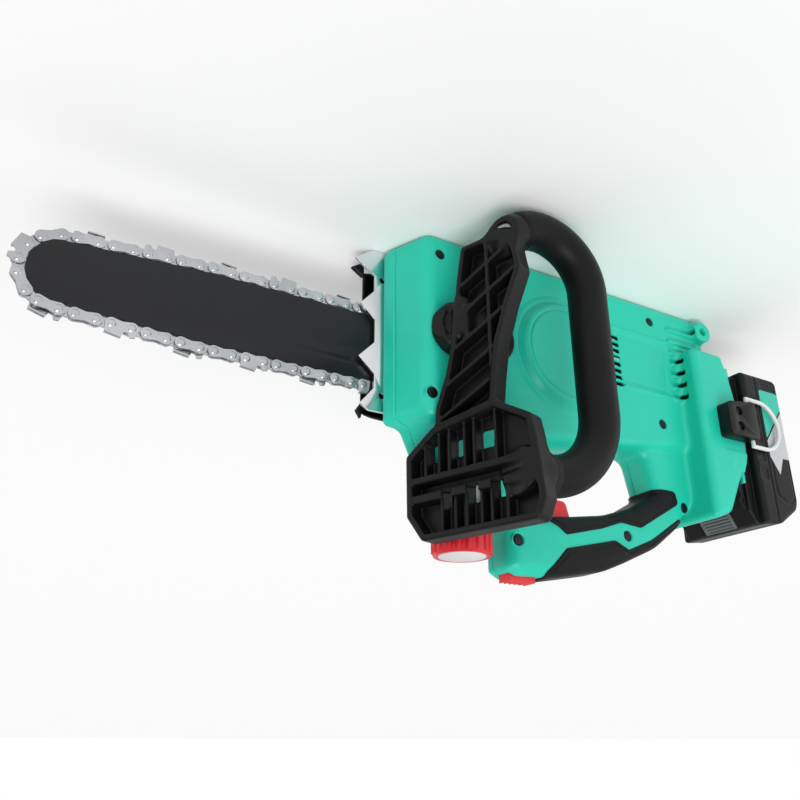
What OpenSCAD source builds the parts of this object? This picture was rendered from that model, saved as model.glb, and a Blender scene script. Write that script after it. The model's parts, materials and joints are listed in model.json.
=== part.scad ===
// Cordless chainsaw: rear battery, closed top handle, side loop handle and hand guard.
// Frame: +X along the guide bar, +Z up, Y = 0 in the middle of the rear handle,
// X = 0 on the drive sprocket's axis, Z = 0 on the flat base that it rests on.

/* [Housing] */
// Front face of the housing, from the sprocket axis
front_x = 62; // [58:0.5:66]
// Rear end of the motor section, behind the sprocket axis
rear_len = 205; // [195:1:215]
// Height of the front block
block_h = 126.6; // [122:0.2:130]
// Height of the tank deck
deck_h = 180; // [170:1:190]
// Height of the top handle at its head
head_h = 213.5; // [206:0.5:222]
// Near side of the body, from the middle plane
near_w = 19; // [17.5:0.5:24]
// Far side of the body, from the middle plane
far_w = 17; // [16:0.5:21]
// Half width of the handle and the tower
grip_w = 15; // [14:0.5:18]
// Half width of the battery mount
mount_w = 35; // [33:0.5:37]
// Wall of the housing shells
wall = 2.6; // [1.8:0.1:3.2]
// Place of the parting plane between the shells
split_y = 5; // [3:0.5:7]
// Proud thickness of the rubber grips
skin_t = 1.2; // [0.8:0.1:2]
// Angle of the front face, seen from above
front_slant = 24; // [10:1:30]

/* [Bar and chain] */
// Height of the bar's centre line
bar_z = 71; // [69:0.5:73]
// Distance from the body's middle plane to the bar's middle plane
bar_y = 23; // [22.5:0.1:24]
// Distance from the drive sprocket to the nose wheel
bar_reach = 251.5; // [200:0.5:400]
// Thickness of the guide bar
bar_t = 4; // [3.6:0.1:4.4]
// Half width of the bar at its belly
bar_half = 23; // [20:0.5:24]
// Radius of the bar's nose
nose_r = 18.7; // [16:0.1:20]
// Distance from one drive link to the next
link_pitch = 19.05; // [16:0.01:20]
// Radius on which the rivets run round the drive sprocket
sprocket_r = 18.2; // [17:0.1:19.5]
// Diameter of the rivets
rivet_d = 3.5; // [3:0.1:4]
// Length of the drive links' tangs below the rivet line
tang_l = 7.6; // [6.5:0.1:8]
// Travel of the chain tensioner
tension_travel = 2; // [1:0.5:2.5]

/* [Drive] */
// Place of the motor behind the sprocket axis
motor_back = 61; // [58:0.5:64]
// Height of the motor axis
motor_z = 63; // [61:0.5:65]
// Outer radius of the motor cover
cover_r = 40; // [38:0.5:42]
// Height of the motor cover's bulge
cover_h = 5; // [4:0.5:8]
// Outer radius of the stator
stator_r = 28; // [26:0.5:29]
// Module of the gears
gear_m = 1.5; // [1.45:0.01:1.55]
// Teeth of the motor pinion
pinion_teeth = 12; // [11:1:13]
// Teeth of the two large gears
wheel_teeth = 29; // [28:1:30]
// Teeth of the small gear on the middle shaft
small_teeth = 14; // [13:1:15]
// Radius of the output shaft
shaft_r = 4; // [3.5:0.1:4.5]

/* [Oil tank] */
// Diameter of the oil cap
cap_d = 36.6; // [32:0.2:38]
// Height of the oil cap's body
cap_h = 17; // [12:0.5:20]
// Outer diameter of the filler neck
neck_d = 30; // [28:0.5:31]
// Rise of the filler neck above the deck
neck_rise = 5.5; // [3:0.5:8]

/* [Side handle] */
// Outer diameter of the rubber loop
loop_d = 24; // [22:0.5:27]
// Distance from the body's middle plane to the loop's plane
loop_y = 69; // [66:0.5:74]
// Height of the loop's upper end
loop_top = 172; // [165:0.5:176]
// Place of the loop's upright, behind the sprocket axis
loop_back = 39; // [36:0.5:44]
// Radius of the loop's upper bend
loop_r_top = 44; // [35:1:46]
// Radius of the loop's lower bend
loop_r_low = 34; // [30:1:38]
// Depth of the guard's lattice
guard_t = 12; // [9:0.5:14]
// Thickness of the guard's rim and ribs
guard_rib = 4; // [3:0.1:5]

/* [Battery] */
// Half width of the pack
pack_w = 38; // [36.5:0.5:40]
// Rear face of the pack, behind the sprocket axis
pack_back = 258.5; // [258:0.5:266]
// Lowest point of the pack
pack_low = 46; // [44:0.5:49]
// Diameter of a cell
cell_d = 18.1; // [17:0.1:18.2]
// Length of a cell
cell_l = 65; // [60:0.5:68]
// Travel of the pack on its rails
pack_travel = 95; // [60:1:110]

/* [Carrying ring] */
// Wire diameter of the ring
ring_wire = 3; // [2.5:0.1:3.2]
// Height of the ring
ring_h = 37; // [35:0.5:40]

/* [Hidden] */
fit = 0.05;          // radial clearance of a running or seated fit
slip = 0.3;          // clearance between moulded pieces
eps = 0.01;
big = 400;
$fn = 64;

teal = [0.16, 0.78, 0.68];
black = [0.08, 0.08, 0.09];
red = [0.86, 0.16, 0.18];
steel = [0.75, 0.76, 0.78];
dark_steel = [0.25, 0.25, 0.27];
alloy = [0.65, 0.67, 0.7];

// ---------- outlines: points are [x, z, corner radius], counter-clockwise ----------

function unit(v) = v / norm(v);
function flat(p) = [p[0], p[1]];
function left_of(a, b) = let(d = unit(b - a)) [-d[1], d[0]];
function turn_of(a, b, c) = (b[0] - a[0]) * (c[1] - b[1]) - (b[1] - a[1]) * (c[0] - b[0]);

// One corner of an outline as an arc of n steps.
function corner(a, b, c, r, n) =
    let(u = unit(a - b), v = unit(c - b), bend = u * v)
    r <= 0 || bend < -0.9995 ? [b] :
    let(half = acos(bend) / 2,
        reach = min(r / tan(half), 0.49 * min(norm(a - b), norm(c - b))),
        rr = reach * tan(half),
        m = b + unit(u + v) * rr / sin(half),
        p = b + u * reach - m,
        q = b + v * reach - m,
        a0 = atan2(p[1], p[0]),
        sweep = (atan2(q[1], q[0]) - a0 + 540) % 360 - 180)
    [for (i = [0:n]) m + rr * [cos(a0 + sweep * i / n), sin(a0 + sweep * i / n)]];

function rounded(pts, n = 5) =
    let(k = len(pts))
    [for (i = [0:k - 1])
        each corner(flat(pts[(i + k - 1) % k]), flat(pts[i]), flat(pts[(i + 1) % k]), pts[i][2], n)];

// The outline moved inwards by d, or outwards where d is negative.
function inset(pts, d) =
    let(k = len(pts))
    [for (i = [0:k - 1])
        let(a = flat(pts[(i + k - 1) % k]), b = flat(pts[i]), c = flat(pts[(i + 1) % k]),
            p = left_of(a, b), q = left_of(b, c),
            moved = b + (p + q) * d / (1 + p * q),
            r = pts[i][2])
        [moved[0], moved[1], r <= 0 ? 0 : max(turn_of(a, b, c) > 0 ? r - d : r + d, 0.2)]];

// Extrudes an outline drawn in X and Z from y0 to y1.
module slab(pts, y0, y1) {
    translate([0, y1, 0]) rotate([90, 0, 0]) linear_extrude(y1 - y0) polygon(pts);
}

module along_y(x, z, y0, y1) {
    translate([x, y0, z]) rotate([-90, 0, 0]) linear_extrude(y1 - y0) children();
}

module rod_y(x, z, r, y0, y1) {
    translate([x, y0, z]) rotate([-90, 0, 0]) cylinder(r = r, h = y1 - y0);
}

module rod_x(y, z, r, x0, x1) {
    translate([x0, y, z]) rotate([0, 90, 0]) cylinder(r = r, h = x1 - x0);
}

module block(x0, x1, y0, y1, z0, z1) {
    translate([x0, y0, z0]) cube([x1 - x0, y1 - y0, z1 - z0]);
}

// A round wire from p to q.
module wire(p, q, r) {
    d = q - p;
    translate(p)
        rotate([0, acos(d[2] / norm(d)), atan2(d[1], d[0])])
            cylinder(r = r, h = norm(d), $fn = 24);
}

// ---------- housing ----------

motor_x = -motor_back;
top_front = 130;             // top of the motor section at the tower
top_rear = 110;              // top of the motor section at the battery mount
mount_x = -172;              // front edge of the battery mount
mount_rear = -217;           // rearmost point of its flanks
pocket_x = -197;             // front wall of the battery's pocket
pocket_z = 44;               // floor of the pocket
pocket_half = 31.5;          // half width of the pocket
tower_front = 53;

body_profile = [[-rear_len, 0, 8], [front_x, 0, 6], [front_x, block_h, 5],
    [tower_front - 8, block_h, 0], [-12, top_front, 0], [mount_x - 10, top_rear, 0],
    [-rear_len, top_rear - 9, 6]];

handle_front = -12;
grip_back = -159;
upper_profile = [[-182, 98, 0], [58, 98, 0], [tower_front, block_h + 1, 0],
    [40, block_h + 31, 40], [33.5, deck_h, 5], [handle_front, deck_h, 0],
    [handle_front, head_h - 4, 3], [-19, head_h, 3], [-40, head_h - 1, 30], [-67, head_h - 6, 60],
    [-88, head_h - 10, 60], [-106, head_h - 17, 60], [-135, head_h - 29.5, 60],
    [grip_back, head_h - 46.5, 30], [-176, head_h - 66, 10]];
hand_hole = [[-36, 131, 6], [-36, head_h - 37, 4], [-65, head_h - 40.5, 30],
    [-93, head_h - 45, 60], [-117, head_h - 53, 40], [-139, head_h - 65, 6], [-132, 117, 9]];
mount_profile = [[mount_x, 35, 5], [mount_x, 165, 4], [-190, 158, 8], [-203, 135, 20],
    [-215, 120, 12], [mount_rear, 97, 20], [-209, 52, 12], [-204, 35, 5]];

// What lies in front of the tower, which slants like the front face; moved inwards by d.
module tower_front_cut(d) {
    c = cos(front_slant);
    pts = [[4 * c, 90, 0], [150, 90, 0], [150, deck_h + 1, 0], [-19.5 * c, deck_h + 1, 0],
        [-13 * c, block_h + 31, 40], [0, block_h + 1, 0]];
    translate([tower_front, far_w, 0]) rotate([0, 0, -front_slant])
        slab(rounded(inset(pts, -d)), -90, 40);
}

// The housing's volume, moved inwards by d, between two Y planes.
module housing_volume(d, y0, y1) {
    difference() {
        slab(rounded(inset(body_profile, d)), max(-near_w + d, y0), min(far_w - d, y1));
        translate([front_x - d / cos(front_slant), far_w, -1])
            rotate([0, 0, -front_slant])
                translate([0, -big / 2, 0]) cube([big / 2, big, big]);
    }
    difference() {
        slab(rounded(inset(upper_profile, d)), max(-grip_w + d, y0), min(grip_w - d, y1));
        slab(rounded(inset(hand_hole, -d)), -near_w - 1, far_w + 1);
        tower_front_cut(d);
    }
    slab(rounded(inset(mount_profile, d)), max(-mount_w + d, y0), min(mount_w - d, y1));
}

// Screw sites on the near side: [x, z, near face].
screw_sites = [[-18, 193, -grip_w], [-107, 180.5, -grip_w], [-164, 154, -grip_w],
    [-149, 96, -near_w], [-149, 14, -near_w], [-100, 12, -near_w], [36, 14, -near_w],
    [43, 112, -near_w]];
screw_head_r = 3.2;
screw_r = 1.45;
screw_sink = 3.2;
screw_bite = 8;
site_boss_r = 4.6;

vent_rows = 7;
vent_pitch = 9.6;
vent_z = 12;
slot_rows = 8;
slot_pitch = 5.2;

neck_x = 13.4;
neck_r = neck_d / 2;
lock_x = -26;
lock_l = 19;
lock_w = 11;
button_slope = 55;
flange_x = [4, 28];
bolt_z = 69;
bolt_r = 2.4;
bolt_bite = 8;
bolt_sites = [-4, 36];
stud_x = [34, 50];
stud_r = 4;
pad_t = bar_y - bar_t / 2 - far_w;
rail_w = 3;
rail_h = 3;
rail_x = -209;

module shell_cuts() {
    // filler neck, lock-off button, trigger and bearing openings
    translate([neck_x, 0, deck_h - 20]) cylinder(r = neck_r + slip, h = 40);
    block(lock_x - lock_l / 2 - slip, lock_x + lock_l / 2 + slip,
        -lock_w / 2 - slip, lock_w / 2 + slip, head_h - 8, head_h + 10);
    block(-69, -39, -7.6 - slip, 7.6 + slip, head_h - 56, head_h - 34);
    // battery pocket, open at the rear and at the top
    block(-big, pocket_x, -pocket_half, pocket_half, pocket_z, big);
}

module site_bosses(side) {
    for (s = screw_sites) {
        face = s[2];
        if (side < 0) rod_y(s[0], s[1], site_boss_r, face, split_y);
        else rod_y(s[0], s[1], site_boss_r - 0.4, split_y, -face - (near_w - far_w) * (face == -near_w ? 1 : 0));
    }
}

module pack_rails(y0, y1) {
    intersection() {
        union()
            for (m = [-1, 1])
                translate([rail_x - rail_h / 2, m > 0 ? pocket_half - rail_w : -pocket_half, pocket_z])
                    cube([rail_h, rail_w, 90]);
        block(-big, big, y0, y1, 0, big);
    }
}

module housing_near() {
    color(teal) difference() {
        union() {
            difference() {
                housing_volume(0, -big, split_y);
                housing_volume(wall, -big, split_y + 1);
                rod_y(motor_x, motor_z, cover_r - 6, -near_w - 1, -near_w + wall + 1);
            }
            site_bosses(-1);
            // stator seat
            difference() {
                union() {
                    rod_y(motor_x, motor_z, stator_r + fit + 2, -near_w + 3.4, -4);
                    for (a = [0:60:300]) translate([motor_x, 0, motor_z]) rotate([0, a + 15, 0])
                        block(stator_r, cover_r - 3, -near_w + wall - 0.5, -8, -1.2, 1.2);
                }
                rod_y(motor_x, motor_z, stator_r + fit, -near_w - 1, -3);
            }
            // pocket walls and rails of the battery mount
            difference() {
                intersection() {
                    slab(rounded(mount_profile), -mount_w, split_y);
                    block(-big, pocket_x + wall, -big, split_y, pocket_z - wall, big);
                }
                block(-big, pocket_x, -pocket_half, big, pocket_z, big);
            }
            // hanging lug at the rear corner
            rod_y(-198, 13, 8.5, -near_w - 7, -near_w + wall);
        }
        for (s = screw_sites) {
            rod_y(s[0], s[1], screw_head_r + slip, s[2] - 1, s[2] + screw_sink);
            rod_y(s[0], s[1], screw_r + slip, s[2] - 1, split_y + 1);
        }
        for (x = bolt_sites) rod_y(x, bolt_z, bolt_r + slip, -near_w - 1, -near_w + wall + 1);
        for (i = [0:vent_rows - 1])
            block(-186 - 1.5 * (vent_rows - i), -165, -near_w - 1, -near_w + wall + 1,
                vent_z + vent_pitch * i, vent_z + vent_pitch * i + 4);
        for (i = [0:slot_rows - 1])
            block(-115, -107, -near_w - 1, -near_w + wall + 1,
                35 + slot_pitch * i, 38 + slot_pitch * i);
        rod_y(-198, 13, 3, -near_w - 8, -near_w + wall + 1);
        for (z = bracket_z) rod_y(bracket_screw_x, z, 1.5, -mount_w - 1, -pocket_half + 1);
        shell_cuts();
        block(-big, pocket_x, -pocket_half, big, pocket_z, big);
    }
    color(teal) pack_rails(-big, split_y);
}

module housing_far() {
    color(teal) difference() {
        union() {
            difference() {
                housing_volume(0, split_y, big);
                housing_volume(wall, split_y - 1, big);
            }
            site_bosses(1);
            difference() {
                intersection() {
                    slab(rounded(mount_profile), split_y, mount_w);
                    block(-big, pocket_x + wall, split_y, big, pocket_z - wall, big);
                }
                block(-big, pocket_x, -big, pocket_half, pocket_z, big);
            }
            // pad that the bar is clamped to
            block(stud_x[0] - 10, stud_x[1] + 2, far_w - wall, far_w + pad_t, bar_z - 11, bar_z + 11);
            for (x = stud_x) rod_y(x, bar_z, 7.5, split_y + 3, far_w);
        }
        for (s = screw_sites) rod_y(s[0], s[1], screw_r + fit, split_y - 1, split_y + screw_bite + 1);
        for (x = stud_x) rod_y(x, bar_z, stud_r + fit, split_y + 2, big);
        rod_y(0, bar_z, out_bearing_r + fit, split_y, big);
        shell_cuts();
        block(-big, pocket_x, -big, pocket_half, pocket_z, big);
    }
    color(teal) pack_rails(split_y, big);
}

module housing_screws() {
    color(steel) for (s = screw_sites) {
        rod_y(s[0], s[1], screw_head_r, s[2] + 0.6, s[2] + screw_sink - 0.02);
        rod_y(s[0], s[1], screw_r, s[2] + screw_sink - 0.1, split_y + screw_bite);
    }
}

module motor_cover() {
    color(teal) difference() {
        union() {
            translate([motor_x, -near_w, motor_z]) rotate([90, 0, 0])
                cylinder(r1 = cover_r, r2 = cover_r - 5, h = cover_h);
            rod_y(motor_x, motor_z, cover_r - 6 - slip, -near_w - eps, -near_w + 2);
        }
        rod_y(motor_x, motor_z, cover_r - 9, -near_w - cover_h + 2, big);
        rod_y(motor_x, motor_z, motor_bearing_r + fit, -near_w - cover_h + 0.8, 0);
    }
    // seat of the motor's outer bearing
    color(teal) difference() {
        rod_y(motor_x, motor_z, motor_bearing_r + 2, -near_w - cover_h + 1.9, -near_w - cover_h + 4.2);
        rod_y(motor_x, motor_z, motor_bearing_r + fit, -big, big);
    }
}

// ---------- grips ----------

// Handle skin: the handle's outline grown by the skin, less the hole shrunk by it.
module skin(zone, cut_slot) {
    difference() {
        translate([0, grip_w + skin_t, 0]) rotate([90, 0, 0])
            linear_extrude(2 * (grip_w + skin_t))
                intersection() {
                    difference() {
                        polygon(rounded(inset(upper_profile, -skin_t)));
                        polygon(rounded(inset(hand_hole, skin_t)));
                    }
                    polygon(rounded(zone));
                }
        difference() {
            slab(rounded(upper_profile), -grip_w, grip_w);
            slab(rounded(hand_hole), -big, big);
        }
        if (cut_slot) block(-71, -37, -7.6 - slip, 7.6 + slip, 0, head_h - 30);
        for (s = screw_sites) rod_y(s[0], s[1], screw_head_r + 1.6, -big, big);
    }
}

top_zone = [[-120, head_h + 5, 0], [-175, head_h - 46, 0], [-157, head_h - 50.5, 2],
    [-128, head_h - 32.5, 4], [-106, head_h - 23.5, 4], [-95, head_h - 28.5, 4],
    [-54, head_h - 19, 3], [-38, head_h - 3, 2], [-41, head_h + 5, 0]];
low_zone = [[-40, head_h - 45, 0], [-40, head_h - 37.5, 2], [-55, head_h - 27.5, 3],
    [-85, head_h - 35, 6], [-102, head_h - 41, 5], [-119.5, head_h - 39.5, 5],
    [-157, head_h - 60.5, 3], [-155, head_h - 69.5, 3], [-138, head_h - 69.5, 0],
    [-100, head_h - 65, 0]];

module top_grip() {
    color(black) skin(top_zone, false);
}

module lower_grip() {
    color(black) skin(low_zone, true);
}

// ---------- spiked bumper, sprocket cover and bar clamp ----------

bumper_t = 2;
bumper_back = 54;
tooth_root = 64.3;
tooth_tips = [[79.2, 9.5], [74.8, 42.6], [75.5, 80.7], [73.8, 112.4]];

module spiked_bumper() {
    pts = concat([[bumper_back, 0], [front_x + 4, 0]],
        [for (i = [0:3]) each [
            if (i > 0) [tooth_root, tooth_tips[i][1] - 12],
            tooth_tips[i],
            if (i < 3) [tooth_root, tooth_tips[i][1] + 10]]],
        [[68, 116], [bumper_back, 116]]);
    color(steel) difference() {
        slab(pts, far_w + 0.02, far_w + bumper_t);
        for (z = [22, 105]) rod_y(59, z, 2, -big, big);
    }
}

cover_y0 = 29.5;
cover_y1 = 43;
cover_nose = 69;
cover_profile = [[-32, 18, 14], [48, 9, 8], [cover_nose, 11, 4], [cover_nose, 115, 4], [46, 117, 8],
    [-30, 116, 20]];

// The cover's volume, moved inwards by d; its front and its top lean towards the bar.
module cover_volume(d, y0) {
    difference() {
        slab(rounded(inset(cover_profile, d)), y0, cover_y1 - d);
        translate([cover_nose, cover_y0 + 0.5, -1]) rotate([0, 0, 52])
            translate([-d, -big / 2, 0]) cube([big / 2, big, big]);
        translate([-big / 2, cover_y0 + 0.5, 118]) rotate([-38, 0, 0])
            translate([0, -big / 2, -d]) cube([big, big, big / 2]);
    }
}

module sprocket_cover() {
    color(black) difference() {
        union() {
            difference() {
                cover_volume(0, far_w + bumper_t + slip);
                cover_volume(2.4, 0);
            }
            // front teeth beside the bar
            for (t = tooth_tips)
                slab([[66, t[1] - 7], [t[0] - 4, t[1] - 1], [66, t[1] + 5]], cover_y0, cover_y0 + 4);
            // clamp pad against the bar and the guides of the tension screw
            block(stud_x[0] - 8, stud_x[1] + 6, bar_y + bar_t / 2 + 0.02, cover_y1 - 1,
                bar_z - 7, bar_z + 12);
            block(24, 28, screw_y - 5, cover_y1 - 1, screw_z - 5, screw_z + 5);
        }
        // way out for the bar and the chain
        block(46, 100, 0, cover_y0, -1, 200);
        block(-40, 60, 0, far_w + bumper_t + slip + 8, -1, 30);
        for (x = stud_x) rod_y(x, bar_z, stud_r + slip, 0, big);
        rod_x(screw_y, screw_z, tension_r + fit, 20, 90);
        rod_x(screw_y, screw_z, 4.2, screw_head_x - 0.2, 90);
    }
}

module bar_studs() {
    color(dark_steel) for (x = stud_x) {
        rod_y(x, bar_z, stud_r, split_y + 2.5, x == stud_x[0] ? cover_y1 + 9 : cover_y1 - 0.5);
    }
}

knob_r = 17;

module knob_washer() {
    color(steel) difference() {
        rod_y(stud_x[0], bar_z, 8, cover_y1 + 0.02, cover_y1 + 1.2);
        rod_y(stud_x[0], bar_z, stud_r + fit, 0, big);
    }
}

module cover_knob() {
    y0 = cover_y1 + 1.3;
    color(black) difference() {
        union() {
            rod_y(stud_x[0], bar_z, knob_r - 2, y0, y0 + 10);
            for (a = [0:30:330])
                translate([stud_x[0] + (knob_r - 3) * cos(a), 0, bar_z + (knob_r - 3) * sin(a)])
                    rod_y(0, 0, 3, y0, y0 + 10);
        }
        rod_y(stud_x[0], bar_z, stud_r + fit, 0, big);
        rod_y(stud_x[0], bar_z, 9, y0 + 7.5, big);
    }
}

screw_y = 33;
screw_z = bar_z - 13;
tension_r = 2.5;
pin_r = 2;
screw_head_x = 56;

module tension_screw() {
    color(dark_steel) difference() {
        union() {
            rod_x(screw_y, screw_z, tension_r, 23, screw_head_x + 3);
            rod_x(screw_y, screw_z, 4, screw_head_x, screw_head_x + 4);
        }
        block(screw_head_x + 2.8, 90, screw_y - 0.6, screw_y + 0.6, screw_z - 6, screw_z + 6);
    }
}

module tension_block() {
    color(steel) difference() {
        union() {
            block(36, 44, screw_y - 4.5, screw_y + 4.5, screw_z - 5, screw_z + 5);
            rod_y(40, screw_z, pin_r, bar_y - bar_t / 2, screw_y - 4);
        }
        rod_x(screw_y, screw_z, tension_r + fit, 20, 90);
    }
}

// ---------- guide bar and chain path ----------

strap_half = 3.6;            // half height of a tie strap
strap_gap = 0.2;             // clearance between the straps and the bar
run_half = bar_half + strap_half + strap_gap;
run_nose = nose_r + strap_half + strap_gap;
belly_x = [70, 173];

// Half of the angle that the chain wraps at each end, from a tangent to a point.
function tangent(r, p) = atan2(p[1], p[0]) - acos(r / norm(p));
drive_turn = -tangent(sprocket_r, [belly_x[0], -run_half]);
nose_turn = -tangent(run_nose, [bar_reach - belly_x[1], -run_half]);

function drive_arc(n) = [for (i = [0:n])
    let(a = drive_turn + (360 - 2 * drive_turn) * i / n) sprocket_r * [cos(a), sin(a)]];
function nose_run(n) = let(w = 180 - nose_turn) [for (i = [0:n])
    let(a = -w + 2 * w * i / n) [bar_reach, 0] + run_nose * [cos(a), sin(a)]];
path = concat(drive_arc(40), [[belly_x[0], -run_half], [belly_x[1], -run_half]],
    nose_run(40), [[belly_x[1], run_half], [belly_x[0], run_half]]);

function walked(i) = i == 0 ? 0 : norm(path[i] - path[i - 1]) + walked(i - 1);
steps = [for (i = [0:len(path) - 1]) walked(i)];
loop_len = steps[len(path) - 1] + norm(path[0] - path[len(path) - 1]);
links = round(loop_len / link_pitch);
pitch = loop_len / links;

// The point at a distance s along the chain's path.
function run(s) =
    let(d = (s % loop_len + loop_len) % loop_len,
        i = max([for (k = [0:len(path) - 1]) if (steps[k] <= d) k]),
        a = path[i], b = path[(i + 1) % len(path)],
        span = norm(b - a))
    a + (b - a) * (d - steps[i]) / span;

// Places a link between two rivets, x along the chain and y outwards.
module on_chain(s0, s1) {
    a = run(s0);
    b = run(s1);
    mid = (a + b) / 2;
    translate([mid[0], bar_y, bar_z + mid[1]])
        rotate([0, -atan2(b[1] - a[1], b[0] - a[0]), 0])
            rotate([90, 0, 0]) mirror([0, 1, 0]) children();
}

drive_half = pitch * 4.075 / 19.05;
strap_reach = pitch / 2 - drive_half;
rivet_r = rivet_d / 2;
link_t = 1.24;
strap_t = 1.2;
strap_in = 0.8;
strap_arch = 0.95;           // arch under a strap, which clears the bar's nose

module plate(pts, t, at) {
    translate([0, 0, at - t / 2]) linear_extrude(t) polygon(pts);
}

module chain_drive_links() {
    color(steel) for (k = [0:links - 1]) {
        s = k * pitch;
        h = norm(run(s + drive_half) - run(s - drive_half)) / 2;
        on_chain(s - drive_half, s + drive_half) difference() {
            translate([0, 0, -link_t / 2]) linear_extrude(link_t) {
                for (m = [-1, 1]) translate([m * h, 0]) circle(r = 3.1, $fn = 32);
                polygon([[-h, -2.6], [-2.9, -2.9], [-1.4, -tang_l], [1.2, -tang_l],
                    [3.1, -2.9], [h, -2.6], [h, 2.9], [-h, 2.9]]);
            }
            for (m = [-1, 1])
                translate([m * h, 0, -5]) cylinder(r = rivet_r + 0.15, h = 10, $fn = 24);
        }
    }
}

module rivets(h) {
    for (m = [-1, 1]) translate([m * h, 0, 0]) {
        translate([0, 0, -strap_in - strap_t - 0.3])
            cylinder(r = rivet_r, h = 2 * (strap_in + strap_t + 0.3), $fn = 24);
        for (n = [-1, 1]) mirror([0, 0, n < 0 ? 1 : 0])
            translate([0, 0, strap_in + strap_t - 0.05])
                cylinder(r1 = 2.5, r2 = 1.7, h = 0.6, $fn = 24);
    }
}

module strap(h, side) {
    translate([0, 0, side > 0 ? strap_in : -strap_in - strap_t]) linear_extrude(strap_t) {
        for (m = [-1, 1]) translate([m * h, 0]) circle(r = strap_half, $fn = 32);
        polygon([[-h, -strap_half], [0, -strap_half + strap_arch], [h, -strap_half], [h, strap_half],
            [0, strap_half - 0.8], [-h, strap_half]]);
    }
}

// The cutting side of a cutter: depth gauge, gullet, side plate and folded top plate.
module cutter_side(h, side) {
    strap(h, side);
    translate([0, 0, side > 0 ? strap_in : -strap_in - strap_t]) linear_extrude(strap_t) {
        polygon([[h - 2.2, 0], [h + 3.2, 1], [h + 2.4, 5.2], [h - 0.2, 5.8], [h - 1.6, 3.6]]);
        polygon([[-h - 3.4, 0], [1, 0], [1.8, 3], [0.6, 6.6], [-h - 3, 5.6]]);
    }
    over = 2.6;
    translate([0, 0, side > 0 ? strap_in + strap_t - over : -strap_in - strap_t])
        linear_extrude(over) polygon([[-h - 3, 4.8], [0.9, 5.7], [0.6, 6.6], [-h - 3, 5.6]]);
}

module chain_tie_straps() {
    color(steel) for (k = [0:links - 1]) {
        s = (k + 0.5) * pitch;
        h = norm(run(s + strap_reach) - run(s - strap_reach)) / 2;
        if (k % 2 == 0) on_chain(s - strap_reach, s + strap_reach) {
            strap(h, 1);
            strap(h, -1);
            rivets(h);
        }
    }
}

module chain_cutters() {
    color(steel) for (k = [0:links - 1]) {
        s = (k + 0.5) * pitch;
        h = norm(run(s + strap_reach) - run(s - strap_reach)) / 2;
        side = k % 4 == 1 ? 1 : -1;
        if (k % 2 == 1) on_chain(s - strap_reach, s + strap_reach) {
            cutter_side(h, side);
            strap(h, -side);
            rivets(h);
        }
    }
}

// The bar's outline, set back from its edge by d.
bar_tail = 21;
function bar_outline(d) = let(w = 180 - nose_turn, n = 24) concat(
    [[bar_tail, -13 + d], [bar_tail + 5, -16.5 + d], [belly_x[0], -bar_half + d], [belly_x[1], -bar_half + d]],
    [for (i = [0:n]) let(a = -w + 2 * w * i / n) [bar_reach, 0] + (nose_r - d) * [cos(a), sin(a)]],
    [[belly_x[1], bar_half - d], [belly_x[0], bar_half - d], [bar_tail + 5, 16.5 - d], [bar_tail, 13 - d]]);

core_set = 4.6;
core_t = 1.4;
nose_wheel_r = run_nose - tang_l - 0.6;
slot_half = stud_r + fit;

module bar_cuts() {
    for (x = [stud_x[0] - 0.5, stud_x[1] + tension_travel + 0.5]) rod_y(x, bar_z, slot_half, 0, big);
    block(stud_x[0] - 0.5, stud_x[1] + tension_travel + 0.5, 0, big,
        bar_z - slot_half, bar_z + slot_half);
    rod_y(40, screw_z, pin_r + fit, 0, big);
    rod_y(40, 2 * bar_z - screw_z, pin_r + fit, 0, big);
}

module bar_plates() {
    side_t = (bar_t - core_t) / 2;
    color([0.16, 0.16, 0.17]) for (y = [bar_y - bar_t / 2, bar_y + core_t / 2])
        difference() {
            translate([0, 0, bar_z]) slab(bar_outline(0), y, y + side_t);
            bar_cuts();
        }
    color(steel) rod_y(bar_reach, bar_z, 3, bar_y - core_t / 2 - 0.01, bar_y + core_t / 2 + 0.01);
}

module bar_core() {
    color(dark_steel) difference() {
        translate([0, 0, bar_z]) slab(bar_outline(core_set), bar_y - core_t / 2, bar_y + core_t / 2);
        rod_y(bar_reach, bar_z, nose_wheel_r + 0.5, 0, big);
        bar_cuts();
    }
}

module nose_sprocket() {
    teeth = 8;
    t = core_t - 0.2;
    color(steel) along_y(bar_reach, bar_z, bar_y - t / 2, bar_y + t / 2) difference() {
        union() {
            circle(r = nose_wheel_r - 3);
            for (i = [0:teeth - 1]) rotate(i * 360 / teeth)
                polygon([[0, -3], [nose_wheel_r, -1], [nose_wheel_r, 1], [0, 3]]);
        }
        circle(r = 3 + fit);
    }
}

// ---------- gear train ----------

pinion_r = gear_m * pinion_teeth / 2;
wheel_r = gear_m * wheel_teeth / 2;
small_r = gear_m * small_teeth / 2;
mesh_gap = 0.1;              // extra centre distance
span_1 = pinion_r + wheel_r + mesh_gap;
span_2 = small_r + wheel_r + mesh_gap;
axis_span = norm([motor_back, bar_z - motor_z]);
axis_turn = atan2(bar_z - motor_z, motor_back);
mid_along = (span_1 * span_1 - span_2 * span_2 + axis_span * axis_span) / (2 * axis_span);
mid_aside = -sqrt(max(span_1 * span_1 - mid_along * mid_along, 0));
mid_x = motor_x + mid_along * cos(axis_turn) - mid_aside * sin(axis_turn);
mid_z = motor_z + mid_along * sin(axis_turn) + mid_aside * cos(axis_turn);

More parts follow.
